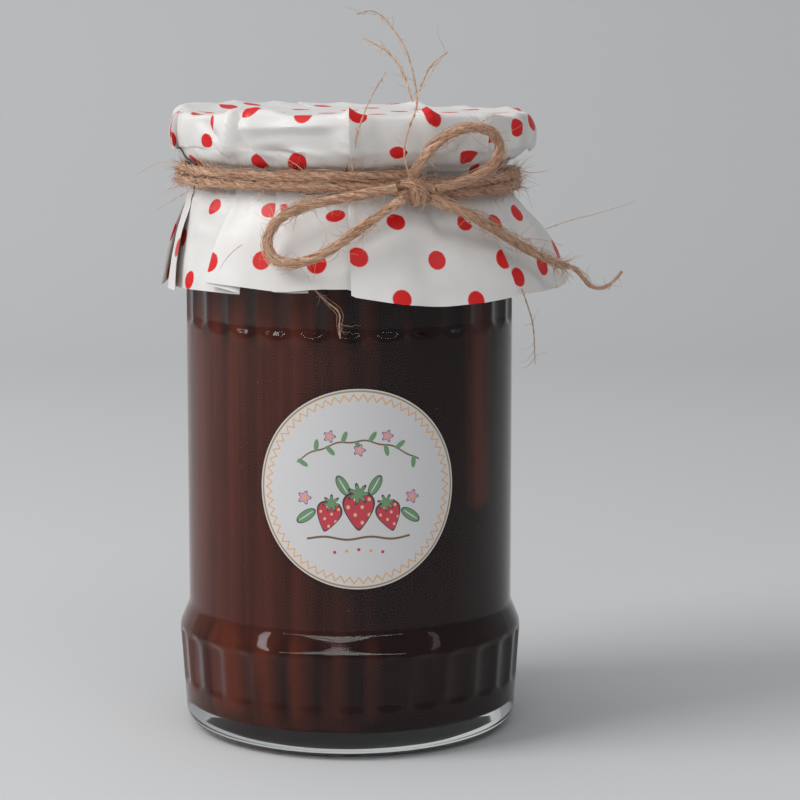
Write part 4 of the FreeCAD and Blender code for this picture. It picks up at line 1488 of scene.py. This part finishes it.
    def spot(
        self, kind: Stretch, index: int, share: float, along: float
    ) -> tuple[Vector, Vector]:
        """One point of the mesh.

        Args:
            kind: what it lies on.
            index: the panel, or the panel on the left of the fold.
            share: how far along the panel or the fold.
            along: the distance along the paper.

        Returns:
            The point in metres, and its place on the flat sheet in millimetres.
        """
        if kind is Stretch.PANEL:
            degrees, off, middle = self.panel_place(index, share, along)
            flat = self.printed_place(index, self.flat_place(degrees, middle, along), along)
            rise = self.cut_at(index, share)
        else:
            following = (index + 1) % len(self.pleats)
            first, off_first, middle_first = self.panel_place(index, 1.0, along)
            last, off_last, middle_last = self.panel_place(following, 0.0, along)
            if following == 0:
                last, middle_last = last + 360, middle_last + 360
            degrees = first + (last - first) * smooth_step(share, 0, 1)
            off = off_first + (off_last - off_first) * share
            ends = (
                self.printed_place(index, self.flat_place(first, middle_first, along), along),
                self.printed_place(following, self.flat_place(last, middle_last, along), along),
            )
            flat = ends[0].lerp(ends[1], share)
            rise = self.cut_at(index, 1.0) * (1 - share) + self.cut_at(following, 0.0) * share
        reach = along
        if along > self.tie_end:
            cut = all_round(self.hem_rise, degrees) + rise
            scale = 1 - cut / (self.hem_at - self.tie_end)
            reach = self.tie_end + (along - self.tie_end) * scale
            flat *= reach / along
        off += self.creased(degrees, reach)
        out, height = self.profile(reach, degrees)
        ahead_out, ahead_height = self.profile(reach + 0.4, degrees)
        slope = Vector((ahead_out - out, ahead_height - height)).normalized()
        out, height = out - slope.y * off, height + slope.x * off
        point = around(degrees, out, height)
        point.x += self.shift * MM * (1 - smooth_step(along, 56, self.tie_at))
        return point, flat

    def build(self) -> bpy.types.Object:
        """Makes the sheet with its pleats, and gives it its thickness."""
        columns = self.columns()
        rows = self.rows()
        count = len(columns)
        points = [Vector((self.shift * MM, 0, self.crown_height * MM))]
        flat = [Vector((0.0, 0.0))]
        for along in rows:
            for kind, index, share in columns:
                point, place = self.spot(kind, index, share, along)
                points.append(point)
                flat.append(place)
        faces = [(0, 1 + c, 1 + (c + 1) % count) for c in range(count)]
        for r in range(len(rows) - 1):
            for c in range(count):
                d = (c + 1) % count
                upper, lower = 1 + r * count, 1 + (r + 1) * count
                faces.append((upper + c, lower + c, lower + d, upper + d))
        across = self.finish.across
        places = [(p.x / across + 0.5, p.y / across + 0.5) for p in flat]
        obj = mesh_piece("paper_cover", points, faces, [places[i] for f in faces for i in f])
        take_up(obj)
        bpy.ops.object.mode_set(mode="EDIT")
        bpy.ops.mesh.select_all(action="SELECT")
        bpy.ops.mesh.remove_doubles(threshold=0.02 * MM)
        let_go()
        obj.data.materials.append(self.finish.printed())
        obj.data.materials.append(self.finish.plain())
        modified(obj, "SOLIDIFY", thickness=self.paper * MM, offset=-1.0, material_offset=1)
        smoothed(obj, 60)
        settled(obj, obj.data.materials[0], ("cover",))
        across = self.flat_diameter * MM
        return obj


# ---- The twine ----

@dataclass
class Tubes:
    """A mesh in the making that is a sheaf of thin tubes, each closed at its ends."""

    points: list[Vector] = field(default_factory=list)
    faces: list[tuple[int, ...]] = field(default_factory=list)
    flat: list[tuple[float, float]] = field(default_factory=list)

    def add(self, line: list[Vector], radii: list[float], sides: int, start: float = 0.0) -> None:
        """Adds a tube.

        Args:
            line: the middles of its rings, in metres.
            radii: each ring's radius in millimetres.
            sides: how many sides it has.
            start: where its map starts along the strand, in millimetres.
        """
        first = len(self.points)
        along = start
        places = []
        for i, (point, (_, across, up)) in enumerate(zip(line, frames(line))):
            if i:
                along += (point - line[i - 1]).length / MM
            places.append(along)
            for k in range(sides):
                turn = math.tau * k / sides
                spoke = across * math.cos(turn) + up * math.sin(turn)
                self.points.append(point + spoke * radii[i] * MM)
        girth = math.tau * max(radii)
        for i in range(len(line) - 1):
            low, high = first + i * sides, first + (i + 1) * sides
            for k in range(sides):
                j = (k + 1) % sides
                self.faces.append((low + k, low + j, high + j, high + k))
                left, right = girth * k / sides, girth * (k + 1) / sides
                self.flat += [
                    (left, places[i]), (right, places[i]), (right, places[i + 1]),
                    (left, places[i + 1]),
                ]
        last = first + (len(line) - 1) * sides
        self.faces.append(tuple(first + k for k in reversed(range(sides))))
        self.faces.append(tuple(last + k for k in range(sides)))
        for place in (places[0], places[-1]):
            self.flat += [(girth * k / sides, place) for k in range(sides)]

    def join(self, other: "Tubes") -> None:
        """Adds another sheaf's tubes.

        Args:
            other: the sheaf, which stays as it is.
        """
        first = len(self.points)
        self.points += other.points
        self.faces += [tuple(first + i for i in face) for face in other.faces]
        self.flat += other.flat

    def finished(self, name: str) -> bpy.types.Object:
        """The object, shaded smooth."""
        obj = mesh_piece(name, self.points, self.faces, self.flat)
        smoothed(obj, 75)
        return obj


def frames(line: list[Vector]) -> list[tuple[Vector, Vector, Vector]]:
    """The direction of a line at each of its points, with two directions across that don't spin."""
    result = []
    across = None
    for i in range(len(line)):
        ahead = line[min(i + 1, len(line) - 1)] - line[max(i - 1, 0)]
        ahead.normalize()
        if across is None:
            side = Vector((0, 0, 1)) if abs(ahead.z) < 0.8 else Vector((1, 0, 0))
            across = ahead.cross(side)
        across = (across - ahead * across.dot(ahead)).normalized()
        result.append((ahead, across.copy(), ahead.cross(across)))
    return result


def spaced(line: list[Vector], step: float) -> list[Vector]:
    """Points about that many millimetres apart along a line of points."""
    lengths = [0.0]
    for start, end in zip(line, line[1:]):
        lengths.append(lengths[-1] + (end - start).length / MM)
    count = max(2, round(lengths[-1] / step))
    result = []
    k = 0
    for i in range(count + 1):
        place = lengths[-1] * i / count
        while k < len(line) - 2 and lengths[k + 1] < place:
            k += 1
        share = (place - lengths[k]) / max(lengths[k + 1] - lengths[k], 1e-9)
        result.append(line[k].lerp(line[k + 1], min(1.0, share)))
    return result


def nurbs_line(control: list[Vector]) -> list[Vector]:
    """The smooth NURBS line that the points control, as points."""
    curve = bpy.data.curves.new("route", "CURVE")
    curve.dimensions = "3D"
    spline = curve.splines.new("NURBS")
    spline.points.add(len(control) - 1)
    for point, place in zip(spline.points, control):
        point.co = (*place, 1)
    spline.order_u = 3
    spline.use_endpoint_u = True
    spline.resolution_u = 16
    obj = bpy.data.objects.new("route", curve)
    bpy.context.collection.objects.link(obj)
    mesh = bpy.data.meshes.new_from_object(obj)
    line = [vertex.co.copy() for vertex in mesh.vertices]
    bpy.data.objects.remove(obj)
    bpy.data.curves.remove(curve)
    bpy.data.meshes.remove(mesh)
    return line


@dataclass(frozen=True)
class Route:
    """A free piece of the twine.

    points are millimetres to the right of the knot, round the line of the twine's turns,
    millimetres out from that line, and millimetres up from the turns' middle.
    """

    node: str
    points: tuple[tuple[float, float, float], ...]
    diameter: float = 2.4
    length: float = 0.0
    far_end: str = "bare"
    stiffness: str = "limp"
    hairs: float = 4.0
    taper: float = 0.0
    on_it: tuple[str, ...] = ()


@dataclass
class Twine:
    """The jute twine: its turns round the neck, its knot and bow, and its loose strands."""

    turns_radius: float = 42.9
    tie_height: float = 145.0
    diameter: float = 2.4
    pitch: float = 2.6
    turns: float = 2.0
    knot_angle: float = 20.0
    knot_out: float = 4.2
    knot_sag: float = 1.0
    knot_step: float = 0.3
    knot_tilt: float = 18.0
    band_high: float = 2.65
    band_deep: float = 1.75
    band_wide: float = 2.5
    band_turns: float = 2.0
    plies: int = 3
    lay: float = 12.0
    fibre: float = 0.13
    fibres_round: int = 11
    step: float = 0.45
    fibre_step: float = 0.95
    hair: float = 0.075
    longest_hair: float = 8.0
    wisps: float = 0.14
    wrap_hairs: float = 5.0
    knot_hairs: float = 4.0
    shortest_hair: float = 0.9
    hair_beyond: float = 1.9
    hair_foot: float = 0.36
    hair_lean: tuple[float, float] = (0.5, 2.2)
    wisp_span: tuple[float, float] = (4, 16)
    wisp_turn: float = 1.6
    wisp_rise: tuple[float, float] = (0.25, 1.5)
    wisp_points: int = 11
    frayed: int = 34
    frayed_back: float = 4.0
    frayed_length: tuple[float, float] = (2.5, 7.5)
    frayed_radius: tuple[float, float] = (0.07, 0.16)
    frayed_joints: int = 6
    fibre_radius: float = 0.11
    seed: int = 7
    finish: Jute = Jute()
    routes: tuple[Route, ...] = (
        Route("bow_loop_right", (
            (-0.7, 5.0, 3.1), (0.0, 7.8, 6.6), (2.2, 10.4, 11.0), (6.0, 11.4, 13.8),
            (10.5, 11.8, 14.8), (14.6, 11.6, 13.6), (17.2, 11.2, 10.8), (18.0, 10.4, 7.2),
            (15.7, 8.6, 3.6), (11.6, 6.8, 0.9), (4.6, 5.0, -0.6),
        ), length=0.0534, far_end="object"),
        Route("bow_loop_left", (
            (-3.4, 6.0, -3.0), (-8.7, 7.8, -6.1), (-13.0, 8.8, -9.8), (-17.2, 9.4, -13.4),
            (-21.6, 9.8, -16.6), (-26.2, 9.5, -18.4), (-30.5, 9.2, -17.6), (-32.4, 8.6, -13.6),
            (-31.3, 7.6, -8.9), (-27.3, 6.3, -5.4), (-21.4, 5.4, -3.5), (-14.2, 5.2, -2.0),
            (-9.0, 4.9, -1.0), (-4.6, 4.6, -0.3),
        ), length=0.0777, far_end="object"),
        Route("tail_curl", (
            (37.2, 15.6, -22.0), (38.8, 17.0, -22.4), (40.3, 17.9, -23.8), (41.6, 18.8, -25.8),
            (42.8, 20.6, -28.0), (44.2, 23.0, -28.8), (45.5, 25.8, -27.4), (46.4, 28.0, -24.4),
        ), diameter=1.1, hairs=1.2, taper=0.5),
        Route("twine_tail", (
            (3.1, 6.0, -3.0), (7.9, 8.0, -5.4), (14.2, 9.6, -9.2), (21.7, 10.3, -13.9),
            (29.9, 12.0, -18.7), (36.7, 15.0, -21.8),
        ), length=0.0467, hairs=5.0, taper=0.25, on_it=("tail_curl",)),
        Route("strand_left", (
            (-1.5, 7.0, 20.8), (-2.2, 4.7, 25.7), (-3.7, 2.6, 30.3), (-6.7, -0.1, 33.8),
            (-11.2, -2.8, 35.9),
        ), diameter=0.6, hairs=0.5, taper=0.5),
        Route("strand_right", (
            (0.4, 5.6, 23.4), (1.9, 4.9, 26.6), (3.7, 4.5, 30.0), (7.5, 5.4, 32.6),
        ), diameter=0.6, hairs=0.4, taper=0.5),
        Route("strand_tall", (
            (-1.9, 6.0, 2.7), (-4.0, 8.0, 8.0), (-3.0, 8.7, 14.1), (-0.7, 7.8, 19.3),
            (0.0, 4.9, 23.8), (0.0, 1.8, 29.0), (-0.7, -0.5, 33.6), (-3.0, -3.3, 38.0),
            (-5.5, -5.4, 41.4), (-9.3, -6.6, 42.9), (-12.7, -6.9, 41.6),
        ), diameter=0.6, length=0.0516, stiffness="stiff", hairs=0.4, taper=0.5,
            on_it=("strand_left", "strand_right")),
        Route("strand_short", (
            (-14.2, 1.6, 3.4), (-13.9, 4.8, 7.0), (-13.5, 5.6, 12.2), (-12.0, 5.2, 17.4),
            (-9.7, 4.5, 22.9), (-6.7, 4.0, 27.9),
        ), diameter=0.5, hairs=0.3, taper=0.6),
        Route("strand_low", (
            (-23.2, 1.6, -25.3), (-20.5, 1.8, -28.2), (-16.9, 1.6, -30.8), (-17.7, 1.4, -34.4),
            (-17.2, 0.6, -37.4),
        ), diameter=0.6, hairs=0.8, taper=0.4),
        Route("strand_hem", (
            (25.5, 10.3, -26.6), (26.2, 11.4, -30.2), (27.7, 12.0, -35.1), (28.5, 12.0, -40.5),
            (28.5, 12.1, -45.9),
        ), diameter=0.5, hairs=0.4, taper=0.6),
    )
    fibres: tuple[tuple[tuple[float, float, float], ...], ...] = (
        ((60, 44.5, 149), (66, 46.5, 147.5), (73, 49.5, 146.0), (80, 51.5, 146.5)),
        ((62, 56.0, 133), (68, 60.0, 135.0), (76, 66.0, 136.0), (84, 74.0, 138.5)),
        ((-62, 45.0, 148), (-70, 47.5, 149.5), (-78, 51.0, 148.5), (-84, 54.5, 145.5)),
        ((-66, 44.5, 142), (-72, 48.0, 139.0), (-78, 50.5, 136.5)),
        ((33, 54.0, 159), (38, 54.5, 161.5), (43, 54.0, 162.5), (47, 53.0, 161.0)),
        ((-30, 52.5, 131), (-34, 53.5, 128.5), (-37, 53.0, 124.5)),
        ((52, 54.0, 131), (57, 56.5, 131.5), (62, 60.5, 129.0)),
        ((-14, 46.0, 149), (-17, 47.5, 151.5), (-22, 47.0, 153.0)),
    )
    knot_shares: tuple[float, ...] = (0.95, 1.0, 0.8)
    knot_strands: tuple[tuple[tuple[float, float, float], ...], ...] = (
        (
            (-4.4, 0.4, -1.4), (-2.6, 0.2, -0.9), (-0.6, -0.3, 0.0), (1.6, -0.1, 0.7),
            (3.4, 0.4, 0.6), (4.6, 0.8, -0.1),
        ),
        (
            (-3.6, 0.2, 1.9), (-2.4, 1.3, 2.0), (-0.6, 2.0, 1.0), (1.2, 1.9, -0.5),
            (2.8, 0.9, -1.9), (3.4, -0.3, -2.6),
        ),
    )

    def place(self, beside: float, out: float, up: float) -> Vector:
        """The point at that distance beside, out from and above the twine's turns at the knot."""
        degrees = self.knot_angle + math.degrees(beside / self.turns_radius)
        return around(degrees, self.turns_radius + out, self.tie_height + up)

    def rope(self, name: str, line: list[Vector], diameter: float, taper: float = 0.0) -> Tubes:
        """Plies twisted round a line.

        Args:
            name: what the wobble of its plies starts from.
            line: the rope's own line, in metres.
            diameter: its thickness in millimetres.
            taper: the share of its thickness that is gone at its end.

        Returns:
            The plies' tubes.
        """
        plies = self.plies if diameter > 1 else 2
        lay = self.lay * max(0.35, diameter / self.diameter)
        thick = diameter * (0.285 if plies == 3 else 0.31)
        reach = diameter / 2 - thick
        sides = 7 if diameter > 1 else 5
        ends = frames(line)
        shift = sum(map(ord, name)) * 0.37
        tubes = Tubes()
        for ply in range(plies):
            points, radii = [], []
            along = 0.0
            for i, (point, (_, across, up)) in enumerate(zip(line, ends)):
                if i:
                    along += (point - line[i - 1]).length / MM
                left = 1 - taper * (i / (len(line) - 1)) ** 2
                wobble = noise.noise(Vector((along / 5, ply * 9.1 + shift, 0)))
                loose = noise.noise(Vector((along / 9, shift, ply * 4.3)))
                turn = math.tau * (ply / plies + along / lay) + 0.9 * wobble
                spoke = across * math.cos(turn) + up * math.sin(turn)
                points.append(point + spoke * reach * left * (1 + 0.22 * loose) * MM)
                radii.append(thick * left * (1 + 0.16 * wobble))
            tubes.add(points, radii, sides, start=ply * 31.0)
        if diameter > 1:
            self.loose_fibres(tubes, line, diameter, taper, shift)
        return tubes

    def loose_fibres(
        self, tubes: Tubes, line: list[Vector], diameter: float, taper: float, shift: float
    ) -> None:
        """Adds the fibres that lie on a rope and wander over its plies.

        Args:
            tubes: what they are added to.
            line: the rope's line.
            diameter: its thickness.
            taper: the share of its thickness that is gone at its end.
            shift: what their wandering starts from.
        """
        thin = spaced(line, self.fibre_step)
        ends = frames(thin)
        count = len(thin) - 1
        for number in range(self.fibres_round):
            points, radii = [], []
            for i, (point, (_, across, up)) in enumerate(zip(thin, ends)):
                along = i * self.fibre_step
                drift = noise.noise(Vector((along / 14, number * 7.7, shift)))
                stand = noise.noise(Vector((along / 4, number * 3.1, shift + 5)))
                turn = math.tau * (number / self.fibres_round + along / 30) + 3.5 * drift
                left = 1 - taper * (i / count) ** 2
                reach = (diameter * 0.47 + 0.22 * stand) * left
                spoke = across * math.cos(turn) + up * math.sin(turn)
                points.append(point + spoke * reach * MM)
                radii.append(self.fibre * (1 + 0.5 * stand) * left)
            tubes.add(points, radii, 4, start=number * 17.0)

    def fuzz(
        self,
        tubes: Tubes,
        line: list[Vector],
        diameter: float,
        per_mm: float,
        chance: random.Random,
    ) -> None:
        """Adds loose hairs that stand off a rope.

        Args:
            tubes: what they are added to.
            line: the rope's line.
            diameter: the rope's thickness.
            per_mm: hairs for each millimetre of rope.
            chance: the source of random numbers.
        """
        ends = frames(line)
        whole = sum((b - a).length for a, b in zip(line, line[1:])) / MM
        for _ in range(round(whole * per_mm * self.wisps)):
            self.wisp(tubes, line, ends, diameter, chance)
        for _ in range(round(whole * per_mm)):
            i = chance.randrange(len(line))
            ahead, across, up = ends[i]
            turn = chance.uniform(0, math.tau)
            out = across * math.cos(turn) + up * math.sin(turn)
            base = line[i] + out * diameter * self.hair_foot * MM
            if Vector((base.x, base.y)).length < Vector((line[i].x, line[i].y)).length - 0.2 * MM:
                out = -out
                base = line[i] + out * diameter * self.hair_foot * MM
            lean = chance.choice((-1, 1)) * chance.uniform(*self.hair_lean)
            heading = (out + ahead * lean).normalized()
            beyond = chance.expovariate(1 / self.hair_beyond)
            length = min(self.longest_hair, self.shortest_hair + beyond)
            count = 3 if length < 2 else 5
            points = [base]
            for _ in range(count):
                bend = Vector([chance.uniform(-1, 1) for _ in range(3)]) * 0.45
                heading = (heading + bend + out * 0.06).normalized()
                points.append(points[-1] + heading * length / count * MM)
            thick = self.hair * chance.uniform(0.7, 1.3)
            radii = [thick * (1 - 0.75 * k / count) for k in range(count + 1)]
            tubes.add(points, radii, 3, start=chance.uniform(0, 90))

    def wisp(
        self,
        tubes: Tubes,
        line: list[Vector],
        ends: list[tuple[Vector, Vector, Vector]],
        diameter: float,
        chance: random.Random,
    ) -> None:
        """Adds a fibre that leaves the rope and comes back to it farther on.

        Args:
            tubes: what it is added to.
            line: the rope's line.
            ends: the line's directions.
            diameter: the rope's thickness.
            chance: the source of random numbers.
        """
        step = (line[1] - line[0]).length / MM
        span = min(len(line) - 1, round(chance.uniform(*self.wisp_span) / step))
        first = chance.randrange(len(line) - span)
        start = chance.uniform(0, math.tau)
        drift = chance.uniform(-self.wisp_turn, self.wisp_turn)
        rise = chance.uniform(*self.wisp_rise)
        _, across, up = ends[first + span // 2]
        turn = start + drift / 2
        spoke = across * math.cos(turn) + up * math.sin(turn)
        if spoke.x * line[first].x + spoke.y * line[first].y < 0:
            start += math.pi
        points, radii = [], []
        for k in range(self.wisp_points):
            share = k / (self.wisp_points - 1)
            i = first + round(span * share)
            _, across, up = ends[i]
            turn = start + drift * share
            reach = diameter * 0.42 + rise * math.sin(math.pi * share)
            spoke = across * math.cos(turn) + up * math.sin(turn)
            middle = line[first + int(span * share)]
            points.append(middle + spoke * reach * MM)
            radii.append(self.hair * (0.6 + 0.5 * math.sin(math.pi * share)))
        tubes.add(points, radii, 3, start=chance.uniform(0, 90))

    def turns_line(self) -> list[Vector]:
        """The line of the turns round the neck, which start and end at the knot."""
        control = []
        count = round(self.turns * 144)
        for i in range(count + 1):
            share = i / count
            degrees = self.knot_angle + 360 * self.turns * share
            sway = noise.noise(Vector((share * 17, 3.3, 0)))
            ease = math.sin(math.pi * share) ** 0.3
            height = self.tie_height + self.pitch * self.turns * (share - 0.5)
            control.append(around(degrees, self.turns_radius + 0.15 + 0.25 * sway * ease,
                                  height + 0.75 * sway * ease))
        return spaced(control, self.step)

    def knot_lines(self) -> list[list[Vector]]:
        """The lines of the knot: a band wound twice across the twine, and what it holds."""
        turn = math.radians(self.knot_angle)
        middle = around(
            self.knot_angle, self.turns_radius + self.knot_out, self.tie_height - self.knot_sag
        )
        right = Vector((math.cos(turn), math.sin(turn), 0))
        out = Vector((math.sin(turn), -math.cos(turn), 0))
        up = Vector((0, 0, 1))
        tilt = math.radians(self.knot_tilt)
        rise = up * math.cos(tilt) - right * math.sin(tilt)
        aside = right * math.cos(tilt) + up * math.sin(tilt)
        band = []
        count = 72
        for i in range(count + 1):
            share = i / count
            a = math.pi + self.band_turns * math.tau * share
            round_it = rise * self.band_high * math.sin(a) + out * self.band_deep * math.cos(a)
            along = aside * (self.band_wide * (share - 0.5))
            band.append(middle + round_it * MM + along * MM)
        lines = [spaced(band, self.knot_step)]
        for strand in self.knot_strands:
            control = [middle + (right * x + out * y + up * z) * MM for x, y, z in strand]
            lines.append(spaced(nurbs_line(control), self.knot_step))
        return lines

    def make_route(
        self, route: Route, material: bpy.types.Material
    ) -> tuple[bpy.types.Object, list[Vector], Vector]:
        """One free piece of the twine.

        Args:
            route: the piece.
            material: its finish.

        Returns:
            The object, its line and where it starts.
        """
        control = [self.place(*point) for point in route.points]
        line = spaced(nurbs_line(control), self.step if route.diameter > 1 else 0.5)
        tubes = self.rope(route.node, line, route.diameter, route.taper)
        obj = settled(tubes.finished(f"{route.node}_jute"), material, (route.node,))
        return obj, line, control[0]

    def build(self) -> None:
        material = self.finish.material()
        chance = random.Random(self.seed)
        hairs = Tubes()
        for route in self.routes:
            obj, line, start = self.make_route(route, material)
            self.fuzz(hairs, line, route.diameter, route.hairs, chance)
            if route.node == "twine_tail":
                self.fray(hairs, line, chance)
        wraps = self.turns_line()
        obj = self.rope("twine_wraps", wraps, self.diameter).finished("twine_wraps_jute")
        settled(obj, material, ("twine_wraps",))
        self.fuzz(hairs, wraps, self.diameter, self.wrap_hairs, chance)
        knot = Tubes()
        for number, line in enumerate(self.knot_lines()):
            thick = self.diameter * self.knot_shares[number]
            knot.join(self.rope(f"knot{number}", line, thick))
            self.fuzz(hairs, line, self.diameter, self.knot_hairs, chance)
        settled(knot.finished("twine_knot_jute"), material, ("twine_knot",))
        for fibre in self.fibres:
            line = spaced(nurbs_line([around(*point) for point in fibre]), 0.8)
            last = len(line) - 1
            radii = [self.fibre_radius * (1 - 0.6 * i / last) for i in range(len(line))]
            hairs.add(line, radii, 4, start=chance.uniform(0, 90))
        settled(hairs.finished("jute_hairs"), material)

    def fray(self, tubes: Tubes, line: list[Vector], chance: random.Random) -> None:
        """Adds the loose fibres at the tail's end."""
        ahead, across, up = frames(line)[-1]
        for _ in range(self.frayed):
            turn = chance.uniform(0, math.tau)
            spoke = across * math.cos(turn) + up * math.sin(turn)
            back = chance.uniform(0.0, self.frayed_back)
            base = line[-1] - ahead * back * MM + spoke * chance.uniform(0, 0.8) * MM
            heading = (ahead + spoke * chance.uniform(0.1, 0.8)).normalized()
            length = chance.uniform(*self.frayed_length)
            points = [base]
            for _ in range(self.frayed_joints):
                bend = Vector([chance.uniform(-1, 1) for _ in range(3)]) * 0.28
                heading = (heading + bend).normalized()
                points.append(points[-1] + heading * length / self.frayed_joints * MM)
            thick = chance.uniform(*self.frayed_radius)
            radii = [thick * (1 - 0.12 * k) for k in range(self.frayed_joints + 1)]
            tubes.add(points, radii, 4, start=chance.uniform(0, 90))


def main() -> None:
    """Builds the jar."""
    logging.basicConfig(level=logging.INFO, format="%(name)s: %(message)s")
    Studio().build()
    Twine().build()
    Jar().build()
    Label().build()
    PaperCover().build()


if __name__ == "__main__":
    main()
